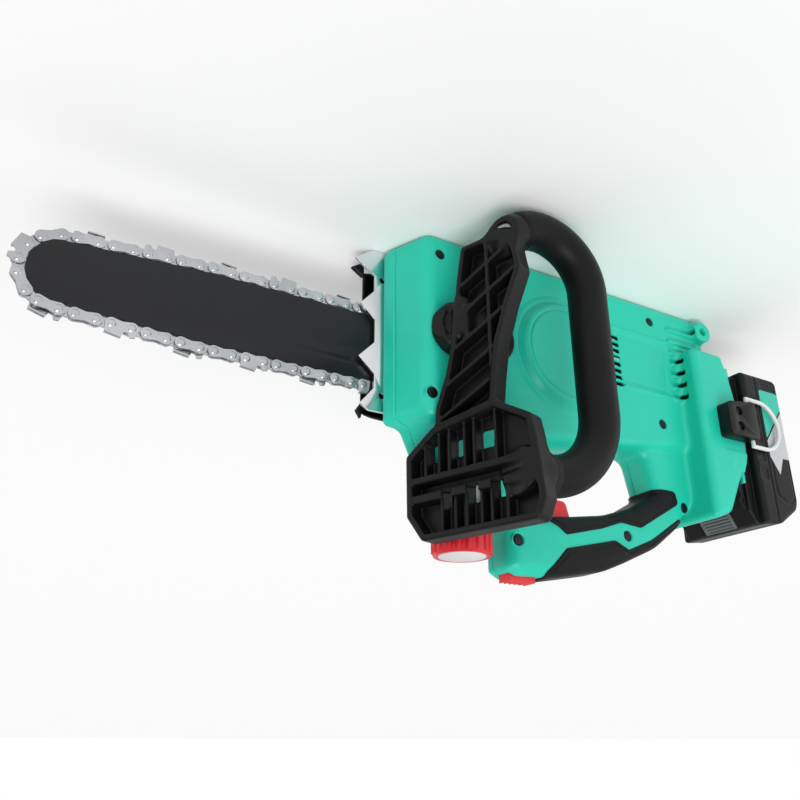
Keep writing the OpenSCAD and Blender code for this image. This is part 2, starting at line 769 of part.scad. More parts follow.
// Tooth flanks as a trapezium with rounded play; one tooth is centred on angle 0.
module gear_2d(teeth) {
    r = gear_m * teeth / 2;
    root = r - 1.3 * gear_m;
    tip = r + 0.85 * gear_m;
    at_root = 0.30 * 360 / teeth;
    at_pitch = 0.205 * 360 / teeth;
    at_tip = 0.10 * 360 / teeth;
    polygon([for (i = [0:teeth - 1]) let(a = i * 360 / teeth)
        each [root * [cos(a - at_root), sin(a - at_root)],
            r * [cos(a - at_pitch), sin(a - at_pitch)],
            tip * [cos(a - at_tip), sin(a - at_tip)],
            tip * [cos(a + at_tip), sin(a + at_tip)],
            r * [cos(a + at_pitch), sin(a + at_pitch)],
            root * [cos(a + at_root), sin(a + at_root)]]]);
}

// Angle of the line from one axis to the next, seen from +Y with Z down the page.
function facing(x0, z0, x1, z1) = atan2(-(z1 - z0), x1 - x0);

face_1 = facing(motor_x, motor_z, mid_x, mid_z);
face_2 = facing(mid_x, mid_z, 0, bar_z);
// a tooth of the driving gear points along the line, a gap of the driven gear meets it
turn_pinion = face_1;
turn_mid_wheel = face_1 + 180 + 180 / wheel_teeth;
turn_small = face_2;
turn_out = face_2 + 180 + 180 / wheel_teeth;

stage_1 = [0.4, 5.4];
stage_2 = [6.0, 11.0];
case_y = [-2.5, 11.3];
case_floor = -0.4;
out_bearing_r = 8;
mid_bearing_r = 5;
motor_bearing_r = 5.5;
mid_shaft_r = 2.5;
motor_shaft_r = 2.5;

module gear(teeth, x, z, turn, y, bore) {
    along_y(x, z, y[0], y[1]) difference() {
        rotate(turn) gear_2d(teeth);
        circle(r = bore);
    }
}

module case_outline(d) {
    for (p = [[0, bar_z, 26.5], [mid_x, mid_z, 26.5], [motor_x, motor_z, 15]])
        translate([p[0], -p[1]]) circle(r = p[2] - d);
}

module gear_case() {
    color(alloy) difference() {
        union() {
            along_y(0, 0, case_y[0], case_y[1]) case_outline(0);
            rod_y(0, bar_z, out_bearing_r + 2, case_floor - 6.5, case_floor);
            rod_y(motor_x, motor_z, motor_bearing_r + 2, case_floor - 3.8, case_floor);
        }
        along_y(0, 0, case_floor, case_y[1] + 1) case_outline(2);
        rod_y(0, bar_z, out_bearing_r + fit, case_floor - 5.1, case_floor + 1);
        rod_y(mid_x, mid_z, mid_bearing_r + fit, -big, case_floor + 1);
        rod_y(motor_x, motor_z, motor_bearing_r + fit, -big, case_floor + 1);
    }
}

module gear_cover() {
    color(alloy) difference() {
        along_y(0, 0, case_y[1] + 0.02, far_w - wall - 0.05) case_outline(0);
        rod_y(0, bar_z, out_bearing_r + fit, 0, big);
        rod_y(mid_x, mid_z, mid_bearing_r + fit, 0, far_w - wall - 0.6);
        for (x = stud_x) rod_y(x, bar_z, 7.6, 0, big);
    }
}

module bearing(x, z, r, bore, y0, t) {
    translate([x, y0, z]) rotate([-90, 0, 0]) rotate_extrude()
        polygon([[bore, 0], [r, 0], [r, t], [r - 1, t], [r - 1.2, t - 0.4], [bore + 1.2, t - 0.4],
            [bore + 1, t], [bore, t]]);
}

module shaft_bearings() {
    color(steel) {
        bearing(0, bar_z, out_bearing_r, shaft_r + fit, case_floor - 5, 4.8);
        bearing(0, bar_z, out_bearing_r, shaft_r + fit, case_y[1] + 0.4, 5);
        bearing(mid_x, mid_z, mid_bearing_r, mid_shaft_r + fit, case_floor - 2, 2);
        bearing(mid_x, mid_z, mid_bearing_r, mid_shaft_r + fit, case_y[1] + 0.2, 2.2);
        bearing(motor_x, motor_z, motor_bearing_r, motor_shaft_r + fit, case_floor - 3.5, 3.4);
        bearing(motor_x, motor_z, motor_bearing_r, motor_shaft_r + fit, -near_w - cover_h + 1, 3.4);
    }
}

clip_y = bar_y + 4.6;

module output_shaft() {
    color(dark_steel) difference() {
        rod_y(0, bar_z, shaft_r, case_floor - 5, clip_y + 2);
        difference() {
            rod_y(0, bar_z, shaft_r + 1, clip_y, clip_y + 0.9);
            rod_y(0, bar_z, shaft_r - 0.8, clip_y - 1, clip_y + 2);
        }
    }
}

module output_gear() {
    color(dark_steel) gear(wheel_teeth, 0, bar_z, turn_out, stage_2, shaft_r + 0.02);
}

module middle_shaft() {
    color(dark_steel) rod_y(mid_x, mid_z, mid_shaft_r, case_floor - 2, case_y[1] + 2.4);
}

module middle_gears() {
    color(dark_steel) {
        gear(wheel_teeth, mid_x, mid_z, turn_mid_wheel, stage_1, mid_shaft_r + 0.02);
        gear(small_teeth, mid_x, mid_z, turn_small, [stage_1[1], stage_2[1]], mid_shaft_r + 0.02);
    }
}

stator_y = [-15.5, -5];

module motor_shaft() {
    color(dark_steel) {
        rod_y(motor_x, motor_z, motor_shaft_r, -near_w - cover_h + 1, stage_1[1] + 0.6);
        gear(pinion_teeth, motor_x, motor_z, turn_pinion, stage_1, motor_shaft_r - 0.5);
    }
}

rotor_r = stator_r * 0.55;

module motor_rotor() {
    color(dark_steel) difference() {
        rod_y(motor_x, motor_z, rotor_r - 0.4, stator_y[0], stator_y[1]);
        rod_y(motor_x, motor_z, motor_shaft_r + 0.02, -big, big);
        for (a = [0:60:300])
            translate([motor_x, 0, motor_z]) rotate([0, a, 0])
                translate([rotor_r - 4, -big, -4]) cube([1.8, 2 * big, 8]);
    }
}

module cooling_fan() {
    y = [-20, -16.6];
    color(black) difference() {
        union() {
            rod_y(motor_x, motor_z, 25, y[1] - 1.2, y[1]);
            rod_y(motor_x, motor_z, 7, y[0] + 0.4, y[1]);
            for (a = [0:30:330])
                translate([motor_x, 0, motor_z]) rotate([0, a, 0])
                    translate([10, y[0], 0]) rotate([0, 25, 0]) cube([13, y[1] - y[0], 1.2]);
        }
        rod_y(motor_x, motor_z, motor_shaft_r + 0.02, -big, big);
    }
}

module motor_stator() {
    poles = 12;
    color(alloy) along_y(motor_x, motor_z, stator_y[0], stator_y[1]) difference() {
        circle(r = stator_r);
        difference() {
            circle(r = stator_r - 3);
            for (i = [0:poles - 1]) rotate(i * 360 / poles) translate([0, -1.6]) square([stator_r, 3.2]);
            difference() {
                circle(r = rotor_r + 2.2);
                for (i = [0:poles - 1]) rotate((i + 0.5) * 360 / poles)
                    translate([0, -0.9]) square([stator_r, 1.8]);
            }
        }
        circle(r = rotor_r);
    }
}

module stator_coils() {
    poles = 12;
    color([0.72, 0.42, 0.2]) for (i = [0:poles - 1])
        translate([motor_x, 0, motor_z]) rotate([0, i * 360 / poles, 0]) difference() {
            translate([rotor_r + 2.4, stator_y[0] - 0.9, -2.5])
                cube([stator_r - rotor_r - 5.7, stator_y[1] - stator_y[0] + 1.8, 5]);
            translate([0, stator_y[0] - 0.02, -1.62])
                cube([stator_r, stator_y[1] - stator_y[0] + 0.04, 3.24]);
        }
}

// ---------- drive sprocket ----------

rim_r = sprocket_r - strap_half - 0.5;
groove_half = 0.85;

module drive_sprocket() {
    hub_r = sprocket_r - tang_l - 0.7;
    color(steel) difference() {
        union() {
            rod_y(0, bar_z, hub_r, bar_y - 4, bar_y + 4.4);
            for (y = [bar_y - 3.4, bar_y + groove_half])
                along_y(0, bar_z, y, y + 3.4 - groove_half) difference() {
                    circle(r = rim_r);
                    for (i = [0:5]) rotate(i * 60 + 30) translate([rim_r + 1.2, 0]) circle(r = 2.6);
                }
        }
        rod_y(0, bar_z, shaft_r + 0.02, 0, big);
    }
}

module sprocket_clip() {
    color(dark_steel) along_y(0, bar_z, clip_y + 0.1, clip_y + 0.8) difference() {
        circle(r = shaft_r + 2.4);
        circle(r = shaft_r - 0.75);
        translate([0, -2.2]) square([shaft_r + 4, 4.4]);
    }
}

// ---------- electronics ----------

module controller() {
    color(black) difference() {
        block(-168, -124, -10, far_w - wall - slip, 48, 86);
        block(-166.4, -125.6, -11, far_w - wall - 4, 49.6, 84.4);
    }
    color([0.1, 0.4, 0.25]) block(-166.1, -125.9, -1, 0.6, 49.9, 84.1);
    color(black) for (x = [-158, -146, -134]) block(x - 4, x + 4, -7, -1, 58, 74);
}

module wiring() {
    for (i = [0:2]) {
        z = 70 + 4 * i;
        color(i == 0 ? red : black) {
            wire([-123.7, -2.75, z], [-86, -2.75, z], 1.2);
        }
    }
    for (y = [-6, 6]) color(y < 0 ? red : black) wire([-194, y, 80], [-168.3, y, 80], 1.6);
}

blade_y = [-9, -3, 3, 9];

module battery_terminals() {
    color(black) block(pocket_x - 4, pocket_x - 0.02, -15, 15, 66, 100);
    color([0.8, 0.6, 0.25]) for (y = blade_y)
        block(pocket_x - 10.5, pocket_x - 3.9, y - 0.4, y + 0.4, 70, 94);
}

module switch_module() {
    color(black) {
        block(-99, -76, -8, 8, head_h - 36, head_h - 19);
        block(-76.1, -73.5, -3, 3, head_h - 32, head_h - 26);
    }
}

// ---------- trigger and lock-off ----------

pivot_x = -70;
pivot_z = head_h - 24;
trigger_w = 7.2;

module trigger() {
    pts = [[-73.5, pivot_z, 3], [-67, pivot_z - 11, 3], [-62.5, head_h - 51.5, 4], [-48, head_h - 52, 6],
        [-42.5, head_h - 44, 4], [-43, pivot_z - 4, 3], [-52, pivot_z + 4, 4], [-70, pivot_z + 4.2, 4]];
    color(red) difference() {
        slab(rounded(pts), -trigger_w, trigger_w);
        rod_y(pivot_x, pivot_z, 1.5 + fit, -big, big);
        // slot of the return spring
        rod_y(pivot_x, pivot_z, 5.4, -4.2, 4.2);
        block(-76, pivot_x, -4.2, 4.2, pivot_z - 5, pivot_z + 8);
        block(pivot_x, -63, -4.2, 4.2, pivot_z, pivot_z + 8);
    }
}

module trigger_pin() {
    inner = grip_w - wall - 0.05;
    color(steel) rod_y(pivot_x, pivot_z, 1.5, -inner, inner);
}

// A round wire wound into a helix about Z.
function helix_points(r, turns, h, wire_r, n, m) = [for (i = [0:n * turns], j = [0:m - 1])
    let(a = 360 * i / n, z = h * i / (n * turns), b = 360 * j / m)
    [(r + wire_r * cos(b)) * cos(a), (r + wire_r * cos(b)) * sin(a), z + wire_r * sin(b)]];

module helix(r, turns, h, wire_r) {
    n = 12;
    m = 6;
    pts = helix_points(r, turns, h, wire_r, n, m);
    rings = n * turns;
    polyhedron(pts, concat(
        [[for (j = [0:m - 1]) j]],
        [for (i = [0:rings - 1], j = [0:m - 1])
            [i * m + j, (i + 1) * m + j, (i + 1) * m + (j + 1) % m, i * m + (j + 1) % m]],
        [[for (j = [m - 1:-1:0]) rings * m + j]]));
}

module trigger_spring() {
    color(steel) translate([pivot_x, -3.2, pivot_z]) rotate([-90, 0, 0])
        helix(3.4, 5, 6.4, 0.5);
}

module lock_off() {
    top = head_h + 2.6;
    color(red) {
        difference() {
            block(lock_x - lock_l / 2, lock_x + lock_l / 2, -lock_w / 2, lock_w / 2, head_h - 7, top);
            for (i = [-2:2]) translate([lock_x + 3.6 * i, 0, top + 1.4]) rotate([90, 0, 0])
                cylinder(r = 2.1, h = 40, center = true, $fn = 24);
        }
        block(lock_x - lock_l / 2 - 1, lock_x + lock_l / 2 + 1, -lock_w / 2 - 1.5, lock_w / 2 + 1.5,
            head_h - 7, head_h - 5.6);
    }
}

module lock_off_spring() {
    color(steel) translate([lock_x - 4, 0, head_h - 15.8]) helix(3, 4, 8, 0.5);
}

// ---------- oil ----------

tank_y = grip_w - wall - 0.4;
tank_low = 112;
seal_t = 1.6;
cap_z = deck_h + neck_rise + seal_t;
bore_r = neck_r - 3;

module oil_tank() {
    t = 1.6;
    pts = [[-7, tank_low, 4], [46, tank_low, 4], [44, block_h, 3], [35, block_h + 29, 20],
        [28.5, deck_h - wall - 0.4, 5], [-7, deck_h - wall - 0.4, 3]];
    color([0.82, 0.84, 0.8]) difference() {
        union() {
            slab(rounded(pts), -tank_y, tank_y);
            translate([neck_x, 0, deck_h - 6]) cylinder(r = neck_r, h = neck_rise + 6);
        }
        difference() {
            slab(rounded(inset(pts, t)), -tank_y + t, tank_y - t);
            tower_front_cut(wall + slip + t);
        }
        tower_front_cut(wall + slip);
        translate([neck_x, 0, deck_h - 12]) cylinder(r = bore_r, h = 40);
        for (s = screw_sites) rod_y(s[0], s[1], site_boss_r + 0.4, -big, big);
        translate([oil_x, oil_y, tank_low - 1]) cylinder(r = 1.2, h = 4, $fn = 24);
    }
}

oil_x = 34;
oil_y = -4;

module oil_pump() {
    color(alloy) difference() {
        union() {
            block(24, 44, -10, 4, 26, 38);
            translate([oil_x, oil_y, 37]) cylinder(r = 3, h = 6, $fn = 24);
        }
        translate([oil_x, oil_y, 30]) cylinder(r = 1.2, h = 20, $fn = 24);
    }
}

module oil_line() {
    color([0.3, 0.3, 0.3]) difference() {
        translate([oil_x, oil_y, 43.05]) cylinder(r = 2.4, h = tank_low - 43.1, $fn = 24);
        translate([oil_x, oil_y, 40]) cylinder(r = 1.3, h = 100, $fn = 24);
    }
}

module cap_seal() {
    color(black) translate([neck_x, 0, deck_h + neck_rise + 0.02]) difference() {
        cylinder(r = neck_r, h = seal_t - 0.04);
        translate([0, 0, -1]) cylinder(r = bore_r + 0.3, h = 5);
    }
}

module oil_cap() {
    r = cap_d / 2;
    color(red) difference() {
        translate([neck_x, 0, 0]) {
            translate([0, 0, cap_z]) cylinder(r = r - 1.2, h = cap_h);
            translate([0, 0, cap_z]) linear_extrude(cap_h - 1.5) {
                circle(r = r - 1.2);
                for (a = [10:20:350]) rotate(a) translate([r - 1.6, 0]) circle(r = 1.6, $fn = 24);
            }
            translate([0, 0, cap_z - neck_rise - seal_t]) cylinder(r = bore_r - 0.08, h = neck_rise + seal_t + 1);
        }
        translate([neck_x, 0, cap_z + cap_h - 1]) cylinder(r = r - 4, h = 5);
        translate([neck_x, 0, cap_z - 10]) cylinder(r = bore_r - 3, h = 16);
    }
}

module cap_disc() {
    color("white") translate([neck_x, 0, cap_z + cap_h - 0.98])
        cylinder(r = cap_d / 2 - 4 - fit, h = 1.2);
}

// ---------- battery ----------

pack_x = -218.5;
pack_t = 1.4;
pack_split = -232;
nose_half = pocket_half - 0.5;
pack_profile = [[-pack_back, pack_low, 5], [pack_x, pack_low, 2], [pack_x, 163, 2], [-238, 160.5, 10],
    [-256, 149, 8], [-pack_back, 142, 4]];
nose_profile = [[pack_x - 2, pocket_z + 5, 0], [pocket_x - 4.6, pocket_z + 5, 2], [pocket_x - 4.6, 136, 4],
    [-209, 150, 6], [-217.5, 162.2, 2], [pack_x - 2, 163, 0]];
cell_gap = 0.6;
cells_low = pack_low + 6;
board_z = cells_low + 5 * (cell_d + cell_gap);
cell_x = [-pack_back + pack_t + cell_d / 2 + 0.12, -pack_back + pack_t + 1.5 * cell_d + 0.5];
button_mid = [-213.8, 156.2];
button_l = 13;
button_w = 13.5;
button_t = 4.5;
button_travel = 2.5;

module pack_volume(d) {
    slab(rounded(inset(pack_profile, d)), -pack_w + d, pack_w - d);
    difference() {
        slab(rounded(inset(nose_profile, d)), -nose_half + d, nose_half - d);
        if (d > 0) block(pack_x - 4, pack_x + d, -big, big, 0, pack_low + 3);
    }
}

// Frame of the release button: x down the slope, z out of it.
module on_button() {
    translate([button_mid[0], 0, button_mid[1]]) rotate([0, button_slope, 0]) children();
}

module pack_cuts() {
    for (y = blade_y) block(pocket_x - 12, big, y - 1, y + 1, 0, 97);
    for (m = [-1, 1])
        translate([rail_x - rail_h / 2 - 0.5, m > 0 ? nose_half - rail_w : -nose_half - 1, 0])
            cube([rail_h + 1, rail_w + 1, 200]);
    on_button() translate([-button_l / 2 - slip, -button_w - slip, -button_t - button_travel - 0.5])
        cube([button_l + 2 * slip, 2 * (button_w + slip), 20]);
}

module pack_shell() {
    difference() {
        pack_volume(0);
        difference() {
            pack_volume(pack_t);
            on_button() translate([-button_l / 2 - 2, -button_w - 2, -button_t - button_travel - 2])
                cube([button_l + 4, 2 * (button_w + 2), 20]);
            block(pocket_x - 14, big, -12, 12, 0, 99);
            for (m = [-1, 1])
                translate([rail_x - rail_h / 2 - 2, m > 0 ? nose_half - rail_w - 1.5 : -nose_half - 1, 0])
                    cube([rail_h + 4, rail_w + 2.5, 200]);
        }
        pack_cuts();
    }
}

module battery_case_front() {
    color(black) difference() {
        pack_shell();
        block(-big, pack_split, -big, big, 0, big);
    }
}

module battery_case_back() {
    color(black) intersection() {
        pack_shell();
        block(-big, pack_split - 0.02, -big, big, 0, big);
    }
}

module battery_cells() {
    color([0.2, 0.45, 0.75]) for (x = cell_x, i = [0:4])
        rod_y(x, cells_low + cell_d / 2 + i * (cell_d + cell_gap), cell_d / 2, -cell_l / 2, cell_l / 2);
}

module battery_board() {
    color([0.1, 0.4, 0.25]) block(pack_x - 34, -224, -30, 30, board_z, board_z + 1.6);
    color([0.8, 0.6, 0.25]) for (y = [-12, 12])
        block(pack_x - 30, -240, y - 4, y + 4, board_z - 0.4, board_z + 0.1);
}

module battery_button() {
    color([0.35, 0.36, 0.38]) on_button() difference() {
        translate([-button_l / 2, -button_w, -button_t]) cube([button_l, 2 * button_w, button_t + 1]);
        for (i = [-2:2]) translate([2.4 * i - 0.5, -button_w + 2, 0.2]) cube([1, 2 * button_w - 4, 2]);
    }
}

// ---------- carrying ring ----------

bracket_x = [-218, -188];
bracket_h = [75, 104];
bracket_out = 10;
bracket_z = [85, 96.5];
bracket_screw_x = -199;
hinge_x = -214.5;
hinge_y = -mount_w - 5.6;
ring_mid = (bracket_h[0] + bracket_h[1]) / 2;
wire_r = ring_wire / 2;

module ring_bracket() {
    pts = [[bracket_x[0], bracket_h[0], 3], [bracket_x[1], bracket_h[0] + 4, 4], [bracket_x[1], bracket_h[1], 3],
        [bracket_x[0], bracket_h[1], 3]];
    color(black) difference() {
        slab(rounded(pts), -mount_w - bracket_out, -mount_w - 0.02);
        translate([hinge_x, hinge_y, 0]) cylinder(r = wire_r + 0.08, h = big);
        // the block stands clear of the pack behind the flank
        block(-big, mount_rear + 4, -mount_w - 2.2, 0, 0, big);
        for (z = bracket_z) {
            rod_y(bracket_screw_x, z, 1.6, -big, 0);
            rod_y(bracket_screw_x, z, 3.4, -big, -mount_w - bracket_out + 4);
        }
    }
}

module bracket_screws() {
    color(dark_steel) for (z = bracket_z) {
        rod_y(bracket_screw_x, z, 3.1, -mount_w - bracket_out + 1.5, -mount_w - bracket_out + 3.98);
        rod_y(bracket_screw_x, z, 1.45, -mount_w - bracket_out + 3.9, -pocket_half - 0.3);
    }
}

module d_ring() {
    r = ring_h / 2;
    reach = 13;
    color("white") translate([hinge_x, hinge_y, ring_mid]) {
        translate([0, 0, -r]) cylinder(r = wire_r, h = ring_h);
        for (m = [-1, 1]) translate([0, 0, m * r]) {
            sphere(r = wire_r);
            rotate([0, -90, 0]) cylinder(r = wire_r, h = reach);
        }
        translate([-reach, 0, 0]) rotate([90, 0, 0]) rotate([0, 0, 90])
            rotate_extrude(angle = 180) translate([r, 0]) circle(r = wire_r);
    }
}

// ---------- side handle ----------

guard_turn = -109.6;         // direction of the guard's plane, seen from above
guard_foot = [58, 19];       // a point of that plane, in front of the drive sprocket
guard_outline = [[20, 185.5, 3], [19.5, 149, 4], [39.5, 135, 4], [83, 128.5, 4], [106.5, 142.5, 4],
    [109, 156.5, 3], [112.5, 189.5, 4], [108, 200.5, 4], [31, 201, 4]];
post_outline = [[64.5, 22, 3], [101, 22, 4], [105.5, 51, 4], [96.5, 71, 20], [88.5, 94, 20],
    [85, 115, 10], [83, 132, 0], [42, 137, 0], [42.5, 124.5, 10], [50.5, 104.5, 20], [55, 86.5, 20],
    [60.5, 44, 10]];
windows = [[48.6, 177, 7.6], [66, 177, 8.2], [82.7, 177, 8.2], [37.4, 148, 8.2], [55.2, 148, 9],
    [74.6, 147, 12.6]];
window_h = 10;
bands = [[162.8, 167], [173.5, 178.5]];

module on_guard() {
    translate([guard_foot[0], guard_foot[1], 0]) rotate([0, 0, guard_turn]) children();
}

module lattice() {
    rim = guard_rib;
    difference() {
        slab(rounded(guard_outline), -guard_t, 0);
        slab(rounded(inset(guard_outline, rim)), -guard_t + 2.4, 1);
        for (w = windows) 
            block(w[0] - w[2] / 2, w[0] + w[2] / 2, -big, big, w[1] - window_h / 2, w[1] + window_h / 2);
    }
    intersection() {
        slab(rounded(inset(guard_outline, 1)), -guard_t + 1, -0.6);
        union() {
            for (b = bands) block(0, 120, -big, big, b[0], b[1]);
            for (w = windows) for (m = [-1, 1])
                block(w[0] + m * w[2] / 2 + (m > 0 ? 0 : -1.8), w[0] + m * w[2] / 2 + (m > 0 ? 1.8 : 0),
                    -big, big, w[1] > 165 ? 176 : 135, w[1] > 165 ? 200 : 163);
        }
    }
}

post_t = 13;

module post() {
    difference() {
        slab(rounded(post_outline), -post_t, 0);
        slab(rounded(inset(post_outline, 3.2)), -post_t + 3, 1);
        slab(rounded(guard_outline), -big, big);
    }
    intersection() {
        slab(rounded(inset(post_outline, 1)), -post_t + 1, -1);
        difference() {
            union() {
                for (z = [42, 61, 80, 99]) translate([76, 0, z]) rotate([0, -24, 0])
                    block(-40, 40, -big, big, -1.1, 1.1);
                translate([82, 0, 24]) rotate([0, -14, 0]) block(-1.2, 1.2, -big, big, 0, 120);
            }
            slab(rounded(guard_outline), -big, big);
        }
    }
}

body_gap = 0.6;              // clearance of the guard round the body
flange_r = 17;
flange_t = 10;
core_r = 8.5;
sleeve_r = loop_d / 2;
loop_low = 14;
bend_top = [loop_r_top - loop_back, loop_top - loop_r_top];
bend_low = [loop_r_low - loop_back, loop_low + loop_r_low];
low_rise = 35;
socket_x = [bend_top[0] + 1, 24];
socket_l = 15;
tube_end = 19;
low_seat = 14;               // angle by which the tube's lower bend runs on into its socket

// Frame of the loop's lower end: z along the tube, into the post.
module on_low_end() {
    translate([bend_low[0] + loop_r_low * sin(low_rise), 0, bend_low[1] - loop_r_low * cos(low_rise)])
        rotate([0, 90 - low_rise, 0]) children();
}

module stadium(d) {
    for (x = flange_x) translate([x, -bolt_z]) circle(r = flange_r - d);
    translate([flange_x[0], -bolt_z - flange_r + d]) square([flange_x[1] - flange_x[0], 2 * (flange_r - d)]);
}

module guard_frame() {
    color(black) difference() {
        union() {
            difference() {
                on_guard() {
                    lattice();
                    post();
                }
                housing_volume(-body_gap, -big, big);
            }
            along_y(0, 0, -near_w - flange_t, -near_w - 0.02) stadium(0);
            block(14, 36, -near_w - 24, -near_w - 1, bolt_z - 13, bolt_z + 13);
            // sockets of the loop
            rod_x(-loop_y, loop_top, sleeve_r + 1.5, socket_x[0], socket_x[1]);
            translate([0, -loop_y, 0]) on_low_end() cylinder(r = sleeve_r, h = socket_l);
        }
        // the front of the plane stays flush
        on_guard() block(-10, 130, 0, 60, -10, 230);
        rod_x(-loop_y, loop_top, core_r + fit, 0, tube_end + fit);
        low_bend(90 + low_rise + low_seat + 0.5) circle(r = core_r + fit);
        for (x = bolt_sites) rod_y(x, bolt_z, bolt_r + fit, -near_w - bolt_bite - 0.5, 0);
    }
}

module handle_bolts() {
    color(dark_steel) for (x = bolt_sites) {
        rod_y(x, bolt_z, 4.4, -near_w + wall + 0.02, -near_w + wall + 3.4);
        rod_y(x, bolt_z, bolt_r, -near_w - bolt_bite, -near_w + wall + 0.1);
    }
}

// The loop's lower bend, from the upright by an angle.
module low_bend(angle) {
    translate([bend_low[0], -loop_y, bend_low[1]]) rotate([90, 0, 0]) rotate([0, 0, 180])
        rotate_extrude(angle = angle) translate([loop_r_low, 0]) children();
}

// The loop's run: straight, upper bend, upright and lower bend.
module loop_run(r, hollow, x_top, low_angle) {
    low_bend(low_angle) ring_2d(r, hollow);
    translate([0, -loop_y, 0]) {
        translate([bend_top[0], 0, bend_top[1]]) rotate([90, 0, 0]) rotate([0, 0, 90])
            rotate_extrude(angle = 90) translate([loop_r_top, 0]) ring_2d(r, hollow);
        translate([-loop_back, 0, bend_low[1]]) linear_extrude(bend_top[1] - bend_low[1]) ring_2d(r, hollow);
        if (x_top > bend_top[0]) translate([bend_top[0], 0, loop_top]) rotate([0, 90, 0])
            linear_extrude(x_top - bend_top[0]) ring_2d(r, hollow);
    }
}

module ring_2d(r, hollow) {
    difference() {
        circle(r = r);
        if (hollow > 0) circle(r = hollow);
    }
}

module handle_tube() {
    color(steel) {
        loop_run(core_r, core_r - 1.5, tube_end, 90 + low_rise + low_seat);
    }
}

module handle_sleeve() {
    color(black) {
        loop_run(sleeve_r, core_r + fit, socket_x[0] - 0.02, 90 + low_rise);
    }
}

housing_near();
housing_far();
motor_cover();
top_grip();
lower_grip();
housing_screws();
spiked_bumper();
sprocket_cover();
bar_studs();
bar_plates();
bar_core();
chain_drive_links();
chain_tie_straps();
chain_cutters();
nose_sprocket();
tension_block();
tension_screw();
cover_knob();
knob_washer();
gear_case();
gear_cover();
shaft_bearings();
output_shaft();
drive_sprocket();
sprocket_clip();
output_gear();
middle_shaft();
middle_gears();
motor_shaft();
motor_rotor();
cooling_fan();
motor_stator();
stator_coils();
controller();
wiring();
oil_tank();
oil_pump();
oil_line();
cap_seal();
oil_cap();
cap_disc();
switch_module();
trigger();
trigger_pin();
trigger_spring();
lock_off();
lock_off_spring();
battery_terminals();
battery_case_front();
battery_case_back();
battery_cells();
battery_board();
battery_button();
ring_bracket();
bracket_screws();
d_ring();
guard_frame();
handle_tube();
handle_sleeve();
handle_bolts();
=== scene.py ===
"""Looks of the cordless chainsaw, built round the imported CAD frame.

Lengths are in millimetres until a mesh is made.
"""
import bpy, bmesh, json, math
import numpy as np
from mathutils import Matrix, Vector

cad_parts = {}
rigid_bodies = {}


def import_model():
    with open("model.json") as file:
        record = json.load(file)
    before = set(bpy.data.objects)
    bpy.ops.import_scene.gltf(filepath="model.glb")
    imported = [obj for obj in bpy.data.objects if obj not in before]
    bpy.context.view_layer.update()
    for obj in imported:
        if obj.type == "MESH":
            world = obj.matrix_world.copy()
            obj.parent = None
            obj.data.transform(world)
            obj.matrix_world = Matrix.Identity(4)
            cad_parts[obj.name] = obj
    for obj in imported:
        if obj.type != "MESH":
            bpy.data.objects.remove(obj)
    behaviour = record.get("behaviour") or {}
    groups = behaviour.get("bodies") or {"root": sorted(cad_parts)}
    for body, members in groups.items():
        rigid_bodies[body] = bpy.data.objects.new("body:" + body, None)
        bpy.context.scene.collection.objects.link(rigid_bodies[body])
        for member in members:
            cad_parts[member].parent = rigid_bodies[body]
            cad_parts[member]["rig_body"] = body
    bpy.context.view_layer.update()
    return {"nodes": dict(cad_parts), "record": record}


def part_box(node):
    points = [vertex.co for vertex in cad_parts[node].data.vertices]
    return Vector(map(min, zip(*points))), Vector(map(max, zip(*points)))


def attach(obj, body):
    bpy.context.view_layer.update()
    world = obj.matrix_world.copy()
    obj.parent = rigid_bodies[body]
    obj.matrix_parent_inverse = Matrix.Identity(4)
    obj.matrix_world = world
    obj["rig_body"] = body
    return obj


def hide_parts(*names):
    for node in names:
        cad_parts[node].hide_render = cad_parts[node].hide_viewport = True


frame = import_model()
MM = 0.001
SKY = 0.42


def mm_box(node):
    """Lowest and highest corner of a CAD node, in millimetres."""
    lo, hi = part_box(node)
    return [c / MM for c in lo], [c / MM for c in hi]


def cell(fine):
    return fine


def add_object(name, data):
    o = bpy.data.objects.new(name, data)
    bpy.context.scene.collection.objects.link(o)
    return o


# ---------- sizes, from the frame where a node gives them ----------

NEAR_LO, NEAR_HI = mm_box("housing_near")
BLOCK_NEAR = -19.0
BLOCK_FAR = 17.0
GRIP_HALF = 15.0
MOUNT_HALF = mm_box("housing_far")[1][1]
SPLIT = NEAR_HI[1]
REAR = 205.0
FRONT = 62.0
BLOCK_H = 126.6
DECK_H = 180.0
HEAD_H = NEAR_HI[2]
WALL = 2.6
GRIP_SKIN = 1.2
SLANT = math.radians(24)

# ---------- signed distance fields ----------


def arc_corners(points, steps=7):
    """The outline of [x, z, radius] corners as a list of points."""
    out = []
    k = len(points)
    for i in range(k):
        a, b, c = (np.array(points[(i + d) % k][:2], float) for d in (-1, 0, 1))
        r = points[i][2]
        la, lc = np.linalg.norm(a - b), np.linalg.norm(c - b)
        u, v = (a - b) / la, (c - b) / lc
        bend = float(u @ v)
        if r <= 0 or bend < -0.9995:
            out.append(b)
            continue
        half = math.acos(max(-1, min(1, bend))) / 2
        reach = min(r / math.tan(half), 0.49 * min(la, lc))
        rr = reach * math.tan(half)
        m = b + (u + v) / np.linalg.norm(u + v) * rr / math.sin(half)
        p, q = b + u * reach - m, b + v * reach - m
        a0 = math.atan2(p[1], p[0])
        sweep = (math.atan2(q[1], q[0]) - a0 + 3 * math.pi) % (2 * math.pi) - math.pi
        for j in range(steps + 1):
            t = a0 + sweep * j / steps
            out.append(m + rr * np.array([math.cos(t), math.sin(t)]))
    return np.array(out)


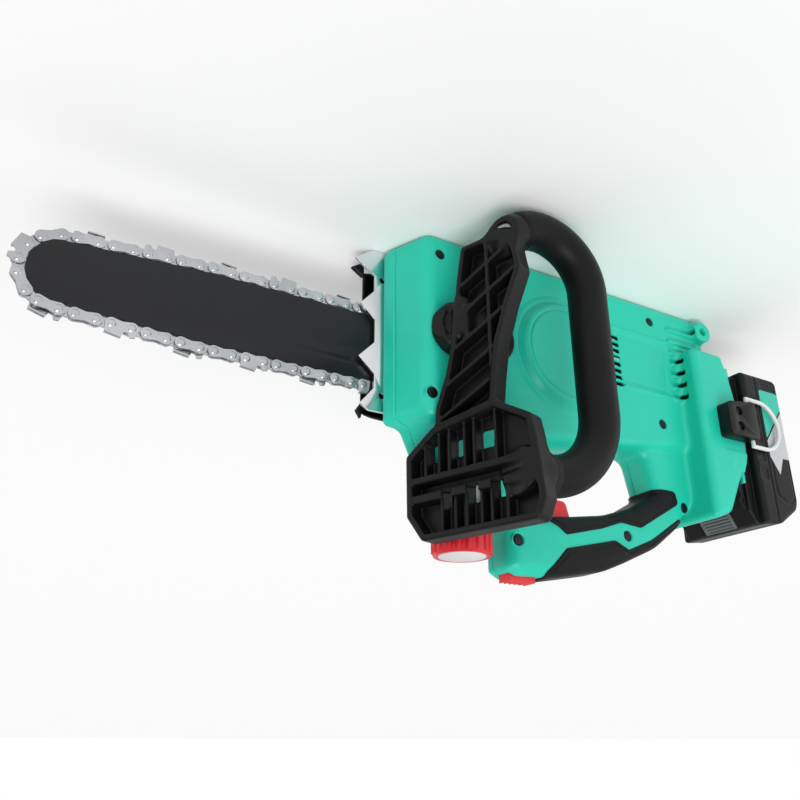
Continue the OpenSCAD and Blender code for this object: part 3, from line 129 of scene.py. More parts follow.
def flat_field(points, u, v):
    """Distance to a closed outline over the plane, negative inside. u and v are broadcastable arrays."""
    u, v = np.broadcast_arrays(np.asarray(u, np.float32), np.asarray(v, np.float32))
    best = np.full(u.shape, 1e9, np.float32)
    inside = np.zeros(u.shape, bool)
    k = len(points)
    for i in range(k):
        a, b = points[i], points[(i + 1) % k]
        d = b - a
        n = float(d @ d)
        if n < 1e-12:
            continue
        t = np.clip(((u - a[0]) * d[0] + (v - a[1]) * d[1]) / n, 0, 1)
        best = np.minimum(best, (u - a[0] - t * d[0]) ** 2 + (v - a[1] - t * d[1]) ** 2)
        if a[1] != b[1]:
            crosses = (v > min(a[1], b[1])) & (v <= max(a[1], b[1]))
            inside ^= crosses & (u < a[0] + (v - a[1]) * d[0] / d[1])
    return np.where(inside, -1, 1) * np.sqrt(best)


def side_field(g, points):
    """The field of an outline of [x, z, radius] corners, the same at every y."""
    x, _, z = g
    return flat_field(arc_corners(points), x[:, 0, :], z[0, 0, :][None, :])[:, None, :]


def thick(d2, along, lo, hi, r=0.0):
    """A flat field given depth from lo to hi, with edges rounded by r."""
    w = np.abs(along - (lo + hi) / 2) - (hi - lo) / 2 + r
    d = d2 + r
    return np.minimum(np.maximum(d, w), 0) + np.hypot(np.maximum(d, 0), np.maximum(w, 0)) - r


def box_field(g, x0, x1, y0, y1, z0, z1, r=0.0):
    q = [np.abs(c - (a + b) / 2) - (b - a) / 2 + r for c, a, b in zip(g, (x0, y0, z0), (x1, y1, z1))]
    out = np.sqrt(sum(np.maximum(c, 0) ** 2 for c in q))
    return out + np.minimum(np.maximum(np.maximum(q[0], q[1]), q[2]), 0) - r


def rod_field(g, axis, centre, r, lo, hi, edge=0.0):
    others = [i for i in range(3) if i != axis]
    d2 = np.hypot(g[others[0]] - centre[0], g[others[1]] - centre[1]) - r
    return thick(d2, g[axis], lo, hi, edge)


def melt(a, b, k):
    """Smooth union."""
    h = np.maximum(k - np.abs(a - b), 0) / k
    return np.minimum(a, b) - h * h * k / 4


def cut(a, b, k=0.0):
    """a less b, with an optional soft edge."""
    if k <= 0:
        return np.maximum(a, -b)
    return -melt(-a, b, k)


def grid(lo, hi, step):
    """Open coordinate arrays over a box, in millimetres, with a margin of two cells."""
    axes = [np.arange(a - 2 * step, b + 2.01 * step, step, dtype=np.float32) for a, b in zip(lo, hi)]
    return (axes[0][:, None, None], axes[1][None, :, None], axes[2][None, None, :])


def node_grid(node, step):
    """The grid of a CAD node's box, a millimetre wider on each side."""
    lo, hi = mm_box(node)
    return grid([v - 1 for v in lo], [v + 1 for v in hi], step)


def surface(g, f):
    """Points and quads of the zero surface of a field, by surface nets."""
    f = np.broadcast_to(f, tuple(c.size for c in g)).astype(np.float32)
    f = np.where(np.abs(f) < 1e-5, np.float32(1e-5), f)
    neg = f < 0
    count = sum(neg[a:f.shape[0] - 1 + a, b:f.shape[1] - 1 + b, c:f.shape[2] - 1 + c].astype(np.int8)
                for a in (0, 1) for b in (0, 1) for c in (0, 1))
    live = (count > 0) & (count < 8)
    idx = np.argwhere(live)
    number = np.full(live.shape, -1, np.int32)
    number[live] = np.arange(len(idx))
    corners = [(a, b, c) for a in (0, 1) for b in (0, 1) for c in (0, 1)]
    values = {c: f[idx[:, 0] + c[0], idx[:, 1] + c[1], idx[:, 2] + c[2]] for c in corners}
    total = np.zeros((len(idx), 3), np.float32)
    hits = np.zeros(len(idx), np.float32)
    for c in corners:
        for axis in range(3):
            if c[axis]:
                continue
            d = tuple(1 if i == axis else v for i, v in enumerate(c))
            a, b = values[c], values[d]
            m = (a < 0) != (b < 0)
            t = np.where(m, a / np.where(m, a - b, 1), 0)
            for i in range(3):
                total[:, i] += np.where(m, c[i] + (t if i == axis else 0), 0)
            hits += m
    place = idx + total / hits[:, None]
    first = np.array([c.ravel()[0] for c in g])
    step = float(g[0].ravel()[1] - g[0].ravel()[0])
    points = first + place * step
    quads = []
    for axis in range(3):
        a = [slice(1, -1)] * 3
        b = list(a)
        a[axis] = slice(0, -1)
        b[axis] = slice(1, None)
        change = neg[tuple(a)] != neg[tuple(b)]
        out_first = neg[tuple(a)][change]
        e = np.argwhere(change)
        others = [i for i in range(3) if i != axis]
        base = e + 1
        base[:, axis] = e[:, axis]
        ring = []
        for du, dv in ((-1, -1), (0, -1), (0, 0), (-1, 0)):
            q = base.copy()
            q[:, others[0]] += du
            q[:, others[1]] += dv
            ring.append(number[q[:, 0], q[:, 1], q[:, 2]])
        ring = np.stack(ring, 1)
        flip = out_first if axis != 1 else ~out_first
        ring[~flip] = ring[~flip][:, ::-1]
        quads.append(ring)
    return points, np.concatenate(quads)


def mesh_object(name, points, faces):
    """A smooth-shaded object from points in millimetres."""
    mesh = bpy.data.meshes.new(name)
    pts = np.asarray(points, np.float64) * MM
    mesh.vertices.add(len(pts))
    mesh.vertices.foreach_set("co", pts.ravel())
    faces = np.asarray(faces)
    mesh.loops.add(faces.size)
    mesh.loops.foreach_set("vertex_index", faces.ravel())
    mesh.polygons.add(len(faces))
    mesh.polygons.foreach_set("loop_start", np.arange(0, faces.size, faces.shape[1]))
    mesh.polygons.foreach_set("loop_total", np.full(len(faces), faces.shape[1]))
    mesh.update(calc_edges=True)
    mesh.validate()
    mesh.shade_smooth()
    return add_object(name, mesh)


def dress(o, body, nodes, material):
    """Gives a piece its material and body, and hides the CAD nodes that it stands for."""
    o.data.materials.clear()
    o.data.materials.append(MATERIALS[material])
    if nodes:
        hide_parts(*nodes)
    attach(o, body)


def moulded(name, g, f, body, nodes, material):
    """A field's surface as a piece that rides on a body and stands for CAD nodes."""
    dress(mesh_object(name, *surface(g, f)), body, nodes, material)


# ---------- materials ----------


def new_material(name):
    m = bpy.data.materials.new(name)
    m.use_nodes = True
    n = m.node_tree.nodes
    n.clear()
    out = n.new("ShaderNodeOutputMaterial")
    shader = n.new("ShaderNodeBsdfPrincipled")
    m.node_tree.links.new(shader.outputs[0], out.inputs[0])
    return m, n, m.node_tree.links, shader


def noise(n, links, scale, detail, vector, rough=0.55):
    t = n.new("ShaderNodeTexNoise")
    t.inputs["Scale"].default_value = scale
    t.inputs["Detail"].default_value = detail
    t.inputs["Roughness"].default_value = rough
    links.new(vector, t.inputs["Vector"])
    return t.outputs["Fac"]


def ramp(n, links, fac, stops):
    r = n.new("ShaderNodeValToRGB")
    links.new(fac, r.inputs["Fac"])
    while len(r.color_ramp.elements) < len(stops):
        r.color_ramp.elements.new(0.5)
    for e, (at, colour) in zip(r.color_ramp.elements, stops):
        e.position = at
        e.color = (*colour, 1) if len(colour) == 3 else colour
    return r.outputs["Color"]


def grey(v):
    return (v, v, v)


WORN_AT = 0.57
SMUDGE = 0.06


def make_surface(name, colour, rough, grain=900.0, grain_depth=0.02, vary=0.06, wear=None, metal=0.0,
                 brushed=None, specular=0.5):
    """A moulded or machined finish: colour drift, roughness drift, fine bump, and wear on raised edges."""
    m, n, links, shader = new_material(name)
    where = n.new("ShaderNodeTexCoord").outputs["Object"]
    drift = noise(n, links, 22, 4, where)
    dark = tuple(c * (1 - vary) for c in colour)
    light = tuple(min(1, c * (1 + vary)) for c in colour)
    base = ramp(n, links, drift, [(0.3, dark), (0.7, light)])
    fine = noise(n, links, grain, 3, where)
    if brushed:
        stretch = n.new("ShaderNodeMapping")
        stretch.inputs["Scale"].default_value = brushed
        links.new(where, stretch.inputs["Vector"])
        fine = noise(n, links, grain, 4, stretch.outputs[0])
    if wear:
        edge = n.new("ShaderNodeNewGeometry").outputs["Pointiness"]
        broken = noise(n, links, 160, 5, where)
        add = n.new("ShaderNodeMath")
        add.operation = "MULTIPLY_ADD"
        add.inputs[1].default_value = 0.05
        links.new(broken, add.inputs[0])
        links.new(edge, add.inputs[2])
        mask = ramp(n, links, add.outputs[0], [(WORN_AT, grey(0)), (WORN_AT + 0.06, grey(0.55))])
        mix = n.new("ShaderNodeMix")
        mix.data_type = "RGBA"
        links.new(mask, mix.inputs["Factor"])
        links.new(base, mix.inputs["A"])
        mix.inputs["B"].default_value = (*wear, 1)
        base = mix.outputs["Result"]
    links.new(base, shader.inputs["Base Color"])
    smear = noise(n, links, 45, 6, where, 0.65)
    spread = [(0.25, grey(max(0.02, rough - SMUDGE))), (0.75, grey(rough + SMUDGE))]
    links.new(ramp(n, links, smear, spread), shader.inputs["Roughness"])
    bump = n.new("ShaderNodeBump")
    bump.inputs["Strength"].default_value = 0.35
    bump.inputs["Distance"].default_value = grain_depth * MM
    links.new(fine, bump.inputs["Height"])
    links.new(bump.outputs[0], shader.inputs["Normal"])
    shader.inputs["Metallic"].default_value = metal
    shader.inputs["Specular IOR Level"].default_value = specular
    return m


MATERIALS = {
    "teal": make_surface("teal_plastic", (0.014, 0.57, 0.41), 0.36, 1500, 0.03, 0.05, wear=(0.08, 0.70, 0.56),
                         specular=0.35),
    "black": make_surface("black_plastic", (0.006, 0.006, 0.0065), 0.38, 1600, 0.05, 0.15,
                          wear=(0.03, 0.03, 0.032), specular=0.22),
    "rubber": make_surface("grip_rubber", (0.007, 0.007, 0.008), 0.46, 2200, 0.09, 0.15,
                           wear=(0.03, 0.03, 0.03), specular=0.16),
    "red": make_surface("red_plastic", (0.74, 0.012, 0.022), 0.32, 1500, 0.03, 0.08, wear=(0.85, 0.10, 0.10)),
    "grey": make_surface("grey_plastic", (0.12, 0.125, 0.13), 0.45, 1600, 0.05, 0.1, wear=(0.25, 0.25, 0.25)),
    "white": make_surface("white_plastic", (0.74, 0.75, 0.76), 0.3, 900, 0.02, 0.04),
    "tank": make_surface("tank_plastic", (0.72, 0.74, 0.70), 0.4, 700, 0.04, 0.05),
    "seal": make_surface("seal_rubber", (0.012, 0.012, 0.012), 0.6, 900, 0.05, 0.2),
    "steel": make_surface("machined_steel", (0.55, 0.56, 0.58), 0.28, 700, 0.03, 0.08, metal=1.0),
    "polished": make_surface("polished_steel", (0.74, 0.75, 0.77), 0.2, 500, 0.02, 0.05, metal=1.0,
                             brushed=(1, 1, 0.05)),
    "chain": make_surface("chain_steel", (0.50, 0.51, 0.53), 0.26, 800, 0.04, 0.16, metal=1.0),
    "dark_steel": make_surface("dark_steel", (0.035, 0.035, 0.04), 0.42, 700, 0.03, 0.1, metal=1.0),
    "bar": make_surface("bar_paint", (0.010, 0.0105, 0.012), 0.34, 900, 0.03, 0.12, specular=0.3),
    "alloy": make_surface("die_cast_alloy", (0.55, 0.56, 0.58), 0.42, 500, 0.08, 0.06, metal=1.0),
    "copper": make_surface("enamelled_wire", (0.60, 0.24, 0.08), 0.3, 400, 0.1, 0.1, metal=1.0,
                           brushed=(1, 12, 1)),
    "wire": make_surface("wire_sleeve", (0.03, 0.03, 0.03), 0.4, 600, 0.03, 0.1),
    "cell": make_surface("cell_wrap", (0.02, 0.12, 0.42), 0.35, 400, 0.03, 0.1),
    "label_green": make_surface("label_green", (0.02, 0.50, 0.36), 0.3, 500, 0.01, 0.05),
    "label_silver": make_surface("label_silver", (0.55, 0.57, 0.58), 0.3, 500, 0.01, 0.05, metal=0.4),
    "board": make_surface("circuit_board", (0.01, 0.12, 0.05), 0.45, 900, 0.05, 0.2),
}

SLOT_MATERIAL = {
    "teal_shell": "teal", "black_plastic": "black", "rubber_grip": "rubber", "red_plastic": "red",
    "grey_plastic": "grey", "white_plastic": "white", "tank_plastic": "tank", "rubber_seal": "seal",
    "steel": "steel", "polished_steel": "polished", "chain_steel": "chain", "dark_steel": "dark_steel",
    "bar_paint": "bar", "alloy": "alloy", "copper": "copper", "wire_sleeve": "wire", "cell_wrap": "cell",
    "board": "board",
}
NODE_SLOT = {s["node"]: s["material_slot"] for s in frame["record"]["subparts"]}
DARK_FIXINGS = ("housing_screws", "bracket_screws", "handle_bolts")


def finish_of(node):
    return "dark_steel" if node in DARK_FIXINGS else SLOT_MATERIAL[NODE_SLOT[node]]


for node_name, node_object in frame["nodes"].items():
    node_object.data.materials.clear()
    node_object.data.materials.append(MATERIALS[finish_of(node_name)])
    node_object.data.shade_flat()

# ---------- housing shells ----------

BODY = [[-REAR, 0, 8], [FRONT, 0, 6], [FRONT, BLOCK_H, 5], [45, BLOCK_H, 0], [-12, 130, 0], [-182, 110, 0],
        [-REAR, 101, 6]]
UPPER = [[-182, 98, 0], [58, 98, 0], [53, BLOCK_H + 1, 0], [40, BLOCK_H + 31, 40], [33.5, DECK_H, 5],
         [-12, DECK_H, 0], [-12, HEAD_H - 4, 3], [-19, HEAD_H, 3], [-40, HEAD_H - 1, 30],
         [-67, HEAD_H - 6, 60], [-88, HEAD_H - 10, 60], [-106, HEAD_H - 17, 60], [-135, HEAD_H - 29.5, 60],
         [-159, HEAD_H - 46.5, 30], [-176, HEAD_H - 66, 10]]
HAND_HOLE = [[-36, 131, 6], [-36, HEAD_H - 37, 4], [-65, HEAD_H - 40.5, 30], [-93, HEAD_H - 45, 60],
             [-117, HEAD_H - 53, 40], [-139, HEAD_H - 65, 6], [-132, 117, 9]]
MOUNT = [[-172, 35, 5], [-172, 165, 4], [-190, 158, 8], [-203, 135, 20], [-215, 120, 12], [-217, 97, 20],
         [-209, 52, 12], [-204, 35, 5]]
SCREWS = [[-18, 193, -GRIP_HALF], [-107, 180.5, -GRIP_HALF], [-164, 154, -GRIP_HALF], [-149, 96, BLOCK_NEAR],
          [-149, 14, BLOCK_NEAR], [-100, 12, BLOCK_NEAR], [36, 14, BLOCK_NEAR], [43, 112, BLOCK_NEAR]]
POCKET = [-197.0, 31.5, 44.0]
NECK = [13.4, 15.3]
TOWER_CUT = [[4 * math.cos(SLANT), 90, 0], [150, 90, 0], [150, DECK_H + 1, 0],
             [-19.5 * math.cos(SLANT), DECK_H + 1, 0], [-13 * math.cos(SLANT), BLOCK_H + 31, 40],
             [0, BLOCK_H + 1, 0]]
TOWER_FOOT = 53
TABLE_STEP = 0.5
MOTOR = [-61.0, 63.0]
LUG = [-198, 13]
PANEL = [[-160, 32, 3], [-111, 32, 3], [-111, 70, 3], [-160, 70, 3]]
LOUVRES = [(-186 - 1.5 * (7 - i), 12 + 9.6 * i) for i in range(7)]  # rear end and foot of each step
UPPER_EDGE = 8.0
BAR_Z = 71
STUDS_X = (34, 50)
BOLTS_X = (-4, 36)
BOLT_Z = 69


def tower_cut(g):
    """What lies in front of the slanted tower, looked up from a table of its outline."""
    x, y, z = g
    u = (x - TOWER_FOOT) * math.cos(SLANT) - (y - BLOCK_FAR) * math.sin(SLANT)
    span = np.arange(float(u.min()) - 1, float(u.max()) + 2, TABLE_STEP, dtype=np.float32)
    table = flat_field(arc_corners(TOWER_CUT), span[:, None], z.ravel()[None, :])
    at = (u - span[0]) / TABLE_STEP
    i = np.clip(at.astype(int), 0, len(span) - 2)
    t = (at - i)[..., 0][..., None]
    i = i[..., 0]
    return (1 - t) * table[i] + t * table[i + 1]


def handle_field(g):
    """The tower, the head and the rear handle, with the hand hole."""
    flat = np.maximum(side_field(g, UPPER), -side_field(g, HAND_HOLE))
    out = thick(flat, g[1], -GRIP_HALF, GRIP_HALF, UPPER_EDGE)
    return cut(out, tower_cut(g), 6)


def mount_field(g):
    return thick(side_field(g, MOUNT), g[1], -MOUNT_HALF, MOUNT_HALF, 5)


def housing_field(g):
    """The whole outside of the housing."""
    x, y, _ = g
    block = thick(side_field(g, BODY), y, BLOCK_NEAR, BLOCK_FAR, 5)
    c, s = math.cos(SLANT), math.sin(SLANT)
    front = (x - FRONT) * c - (y - BLOCK_FAR) * s
    block = -melt(-block, -front, 7)
    return melt(melt(block, handle_field(g), 4), mount_field(g), 5)


def near_trim(g, solid):
    """The lug, the cover's rim, the panel, its ribs and the louvre steps, added to the near side."""
    _, y, _ = g
    solid = melt(solid, rod_field(g, 1, LUG, 8.5, BLOCK_NEAR - 7, BLOCK_NEAR + 8, 1.2), 3)
    solid = melt(solid, rod_field(g, 1, MOTOR, 42, BLOCK_NEAR - 0.8, BLOCK_NEAR + 4, 0.6), 2)
    solid = cut(solid, thick(side_field(g, PANEL), y, BLOCK_NEAR - 5, BLOCK_NEAR + 0.9, 0.3), 0.6)
    for low in (27.5, 72.5):
        rib = box_field(g, -170, -108, BLOCK_NEAR - 1.2, BLOCK_NEAR + 2, low, low + 2.2, 0.6)
        solid = melt(solid, rib, 0.8)
    for back, low in LOUVRES:
        lip = box_field(g, back, -164, BLOCK_NEAR - 2.2, BLOCK_NEAR + 2, low + 4, low + 6.6, 0.8)
        solid = melt(solid, lip, 1.5)
    return solid


def shell_outside(g, f, near):
    """The housing's outside with the trim of one side and the two webs of the mount's ledge."""
    _, y, _ = g
    if near:
        solid = near_trim(g, f)
    else:
        solid = melt(f, box_field(g, 24, 52, BLOCK_FAR - 3, 21, 60, 82, 0.6), 1.0)
    m = -1 if near else 1
    for peak in (-195.5, -207):
        web = side_field(g, [[peak - 7, 112, 1], [peak + 6, 112, 1], [peak + 1, 127, 1], [peak - 1, 127, 1]])
        w0, w1 = sorted((m * (MOUNT_HALF - 1.2), m * MOUNT_HALF))
        solid = melt(solid, thick(web, y, w0 - 0.2, w1 + 0.2, 0.4), 1)
    return solid


def add_pocket(g, out):
    """The walls and rails of the battery's pocket."""
    x, _, z = g
    wall = np.maximum(np.maximum(mount_field(g), x - (POCKET[0] + WALL)), (POCKET[2] - WALL) - z)
    out = np.minimum(out, wall)
    out = cut(out, box_field(g, -400, POCKET[0], -POCKET[1], POCKET[1], POCKET[2], 400))
    for m in (-1, 1):
        y0, y1 = sorted((m * (POCKET[1] - 3), m * (POCKET[1] + 1)))
        out = np.minimum(out, box_field(g, -210.5, -207.5, y0, y1, 44, 134, 0.5))
    return out


def shell_parts(g, f, near):
    """Hollows the housing and cuts its openings."""
    _, y, _ = g
    solid = shell_outside(g, f, near)
    out = cut(solid, np.maximum(f + WALL, y - (SPLIT + 3) if near else (SPLIT - 3) - y))
    for sx, sz, sy in SCREWS:
        if near:
            out = np.minimum(out, rod_field(g, 1, (sx, sz), 4.6, sy + 1, SPLIT + 1))
            out = cut(out, rod_field(g, 1, (sx, sz), 3.5, sy - 9, sy + 3.2), 0.8)
        else:
            top = GRIP_HALF if sy == -GRIP_HALF else BLOCK_FAR
            out = np.minimum(out, rod_field(g, 1, (sx, sz), 4.2, SPLIT - 1, top - 1))
    out = add_pocket(g, out)
    # neck, lock-off button, trigger
    out = cut(out, rod_field(g, 2, (NECK[0], 0), NECK[1], DECK_H - 20, DECK_H + 20), 0.8)
    out = cut(out, box_field(g, -35.8, -16.2, -5.8, 5.8, HEAD_H - 8, HEAD_H + 10, 1), 0.8)
    out = cut(out, box_field(g, -69, -39, -7.9, 7.9, HEAD_H - 56, HEAD_H - 34, 1), 0.8)
    if near:
        out = cut(out, rod_field(g, 1, MOTOR, 34, BLOCK_NEAR - 5, BLOCK_NEAR + 6))
        for i in range(8):
            out = cut(out, box_field(g, -115, -107, -25, -14, 35 + 5.2 * i, 38 + 5.2 * i, 0.8), 0.5)
        for back, low in LOUVRES:
            out = cut(out, box_field(g, back, -165, -25, BLOCK_NEAR + 1.2, low, low + 3.6, 0.8), 0.5)
        out = cut(out, rod_field(g, 1, LUG, 3, -40, -10), 0.8)
        for bx in BOLTS_X:
            out = cut(out, rod_field(g, 1, (bx, BOLT_Z), 2.7, -25, -14))
        out = np.maximum(out, y - SPLIT)
        # shadow line of the parting
        return cut(out, np.maximum(-(f + 0.7), (SPLIT - 0.5) - y))
    for sx in STUDS_X:
        out = cut(out, rod_field(g, 1, (sx, BAR_Z), 4.05, 0, 40))
    out = cut(out, rod_field(g, 1, (0, BAR_Z), 8.05, 0, 40))
    # cooling slots on the far side
    for i in range(7):
        out = cut(out, box_field(g, -160, -120, 10, 25, 30 + 6 * i, 33 + 6 * i, 0.8), 0.5)
    return np.maximum(out, SPLIT - y)


def build_shell(near, step):
    lo = [NEAR_LO[0], -MOUNT_HALF - 0.5 if near else SPLIT - 0.2, 0]
    hi = [66, SPLIT + 0.2 if near else MOUNT_HALF + 0.5, HEAD_H + 0.5]
    g = grid(lo, hi, step)
    side = "near" if near else "far"
    shape = shell_parts(g, housing_field(g), near)
    moulded("shell_" + side, g, shape, "saw", ["housing_" + side], "teal")


build_shell(True, cell(0.8))
build_shell(False, cell(0.8))

# ---------- rubber grips ----------

TOP_ZONE = [[-120, HEAD_H + 5, 0], [-175, HEAD_H - 46, 0], [-157, HEAD_H - 50.5, 2], [-128, HEAD_H - 32.5, 4],
            [-106, HEAD_H - 23.5, 4], [-95, HEAD_H - 28.5, 4], [-54, HEAD_H - 19, 3], [-38, HEAD_H - 3, 2],
            [-41, HEAD_H + 5, 0]]
LOW_ZONE = [[-40, HEAD_H - 45, 0], [-40, HEAD_H - 37.5, 2], [-55, HEAD_H - 27.5, 3], [-85, HEAD_H - 35, 6],
            [-102, HEAD_H - 41, 5], [-119.5, HEAD_H - 39.5, 5], [-157, HEAD_H - 60.5, 3],
            [-155, HEAD_H - 69.5, 3], [-138, HEAD_H - 69.5, 0], [-100, HEAD_H - 65, 0]]


def build_grip(name, zone, slot_cut):
    """A soft grip: the handle's outside within a zone, proud by its skin."""
    g = node_grid(name, cell(0.6))
    f = handle_field(g)
    region = side_field(g, zone)
    out = -melt(-(f - GRIP_SKIN), -region, 1.2)
    # moulded border line round a smooth field
    out = cut(out, np.maximum(np.abs(region + 2.6) - 0.55, -(f - GRIP_SKIN + 0.7)), 0.5)
    out = np.maximum(out, -(f + 0.5))
    if slot_cut:
        out = cut(out, box_field(g, -71, -37, -7.9, 7.9, 0, HEAD_H - 30))
    for sx, sz, _ in SCREWS[:3]:
        out = cut(out, rod_field(g, 1, (sx, sz), 4.8, -60, 0), 0.5)
    moulded(name + "_skin", g, out, "saw", [name], "rubber")


build_grip("top_grip", TOP_ZONE, False)
build_grip("lower_grip", LOW_ZONE, True)

# ---------- side guard ----------

GUARD = [[20, 185.5, 3], [19.5, 149, 4], [39.5, 135, 4], [83, 128.5, 4], [106.5, 142.5, 4], [109, 156.5, 3],
         [112.5, 189.5, 4], [108, 200.5, 4], [31, 201, 4]]
POST = [[64.5, 22, 3], [101, 22, 4], [105.5, 51, 4], [96.5, 71, 20], [88.5, 94, 20], [85, 115, 10],
        [83, 132, 0], [42, 137, 0], [42.5, 124.5, 10], [50.5, 104.5, 20], [55, 86.5, 20], [60.5, 44, 10]]
# middle along the guard, middle height and width of each window
WINDOWS = [[48.6, 177, 7.6], [66, 177, 8.2], [82.7, 177, 8.2], [37.4, 148, 8.2], [55.2, 148, 9],
           [74.6, 147, 12.6]]
BANDS = [[162.8, 167], [173.5, 178.5]]
WEB_HEIGHTS = (42, 61, 80, 99, 117)
GUARD_TURN = math.radians(-109.6)
GUARD_FOOT = [58, 19]
GUARD_T = 12.0
POST_T = 13.0
LOOP_Y = -69.0
LOOP_R = 12.0
LOOP_TOP = 172
LOOP_X = -39
TOP_BEND = [5, 44]
LOW_BEND = [-5, 48, 34]
LOW_ANGLE = math.radians(35)
SOCKET_R = 8.6
FLANGE = [[-13, 52, 16.9], [45, 52, 16.9], [45, 86, 16.9], [-13, 86, 16.9]]
FLANGE_T = 10
GUIDE_STEP = 0.4


class Local:
    """Coordinates along (s) and out of (n) the guard's plane, with outlines looked up from a table."""

    def __init__(self, g):
        x, y, z = g
        c, s = math.cos(GUARD_TURN), math.sin(GUARD_TURN)
        self.s = ((x - GUARD_FOOT[0]) * c + (y - GUARD_FOOT[1]) * s)[..., 0]
        self.n = (-(x - GUARD_FOOT[0]) * s + (y - GUARD_FOOT[1]) * c)
        self.z = z
        self.span = np.arange(float(self.s.min()) - 1, float(self.s.max()) + 2, GUIDE_STEP, dtype=np.float32)
        at = (self.s - self.span[0]) / GUIDE_STEP
        self.i = np.clip(at.astype(int), 0, len(self.span) - 2)
        self.t = (at - self.i)[..., None]

    def outline(self, points):
        table = flat_field(arc_corners(points), self.span[:, None], self.z.ravel()[None, :])
        return (1 - self.t) * table[self.i] + self.t * table[self.i + 1]

    def slab(self, points, lo, hi, r=0.0):
        return thick(self.outline(points), self.n, lo, hi, r)

    def block(self, s0, s1, z0, z1, lo, hi, r=0.0):
        q = [np.abs(self.s[..., None] - (s0 + s1) / 2) - (s1 - s0) / 2 + r,
             np.abs(self.n - (lo + hi) / 2) - (hi - lo) / 2 + r,
             np.abs(self.z - (z0 + z1) / 2) - (z1 - z0) / 2 + r]
        out = np.sqrt(sum(np.maximum(c, 0) ** 2 for c in q))
        return out + np.minimum(np.maximum(np.maximum(q[0], q[1]), q[2]), 0) - r


def guard_shield(at):
    """The lattice in front of the hand: a rim, two long bands and cross ribs round the windows."""
    edge = at.outline(GUARD)
    shield = at.slab(GUARD, -GUARD_T, 0, 1.2)
    shield = cut(shield, np.maximum(edge + 4, -(at.n + GUARD_T - 2.4)), 1.2)
    ribs = [at.block(15, 116, z0, z1, -GUARD_T + 1, -0.7, 0.7) for z0, z1 in BANDS]
    for middle, height, width in WINDOWS:
        z0, z1 = (176, 200) if height > 165 else (133, 163)
        for a in (middle - width / 2 - 1.8, middle + width / 2):
            ribs.append(at.block(a, a + 1.8, z0, z1, -GUARD_T + 1, -2.6, 0.5))
    shield = melt(shield, np.maximum(np.minimum.reduce(np.broadcast_arrays(*ribs)), edge + 1), 1.0)
    for middle, height, width in WINDOWS:
        opening = at.block(middle - width / 2, middle + width / 2, height - 5, height + 5, -40, 20, 1.0)
        shield = cut(shield, opening, 0.8)
    return shield


def guard_post(at):
    """The post below the lattice: a channel with a long web and slanted webs."""
    edge = at.outline(POST)
    post = at.slab(POST, -POST_T, 0, 1.2)
    post = cut(post, np.maximum(edge + 3.2, -(at.n + POST_T - 3)), 1.2)
    webs = at.block(81, 83.4, 24, 140, -POST_T + 1, -1.2, 0.5)
    tilt = math.radians(24)
    within = np.maximum(at.n + 1.2, -(at.n + POST_T - 1))
    for height in WEB_HEIGHTS:
        u = (at.s[..., None] - 76) * math.cos(tilt) - (at.z - height) * math.sin(tilt)
        v = (at.s[..., None] - 76) * math.sin(tilt) + (at.z - height) * math.cos(tilt)
        web = np.maximum(np.maximum(np.abs(v) - 1.1, np.abs(u) - 45), within)
        webs = np.minimum(webs, web)
    post = melt(post, np.maximum(webs, edge + 1), 1.0)
    return np.maximum(post, -at.outline(GUARD))


def build_guard():
    g = node_grid("guard_frame", cell(0.7))
    x, y, z = g
    at = Local(g)
    out = melt(guard_shield(at), guard_post(at), 2.0)
    # sockets of the loop
    c, s = math.cos(LOW_ANGLE), math.sin(LOW_ANGLE)
    end = (LOW_BEND[0] + LOW_BEND[2] * s, LOW_BEND[1] - LOW_BEND[2] * c)
    u = (x - end[0]) * c + (z - end[1]) * s
    v = -(x - end[0]) * s + (z - end[1]) * c
    across = np.hypot(v, y - LOOP_Y)
    out = melt(out, thick(across - LOOP_R, u, 0, 15, 0.8), 4.0)
    out = melt(out, rod_field(g, 0, (LOOP_Y, LOOP_TOP), LOOP_R + 1.5, 6, 24, 1.2), 4.0)
    # flange on the housing, with its neck
    stadium = side_field(g, FLANGE)
    flange = thick(stadium, y, BLOCK_NEAR - FLANGE_T, BLOCK_NEAR, 2.0)
    flange = cut(flange, np.maximum(stadium + 4, y - (BLOCK_NEAR - FLANGE_T + 1.4)), 0.8)
    out = melt(out, flange, 2.0)
    out = melt(out, box_field(g, 14, 36, BLOCK_NEAR - 24, BLOCK_NEAR - 1, 56, 82, 3), 5.0)
    out = np.maximum(out, at.n)
    # clear of the housing, and the bores for the tube's ends and the bolts
    body = housing_field(g) - 0.5
    out = np.maximum(out, -np.maximum(body, -(y - BLOCK_NEAR)))
    out = np.maximum(out, -(body + 0.45))
    out = np.maximum(out, -np.maximum(across - SOCKET_R, np.abs(u - 3) - 7))
    out = np.maximum(out, -rod_field(g, 0, (LOOP_Y, LOOP_TOP), SOCKET_R, 0, 19))
    for bx in BOLTS_X:
        out = np.maximum(out, -rod_field(g, 1, (bx, BOLT_Z), 2.45, -27.5, 0))
    moulded("side_guard", g, out, "saw", ["guard_frame"], "black")


build_guard()


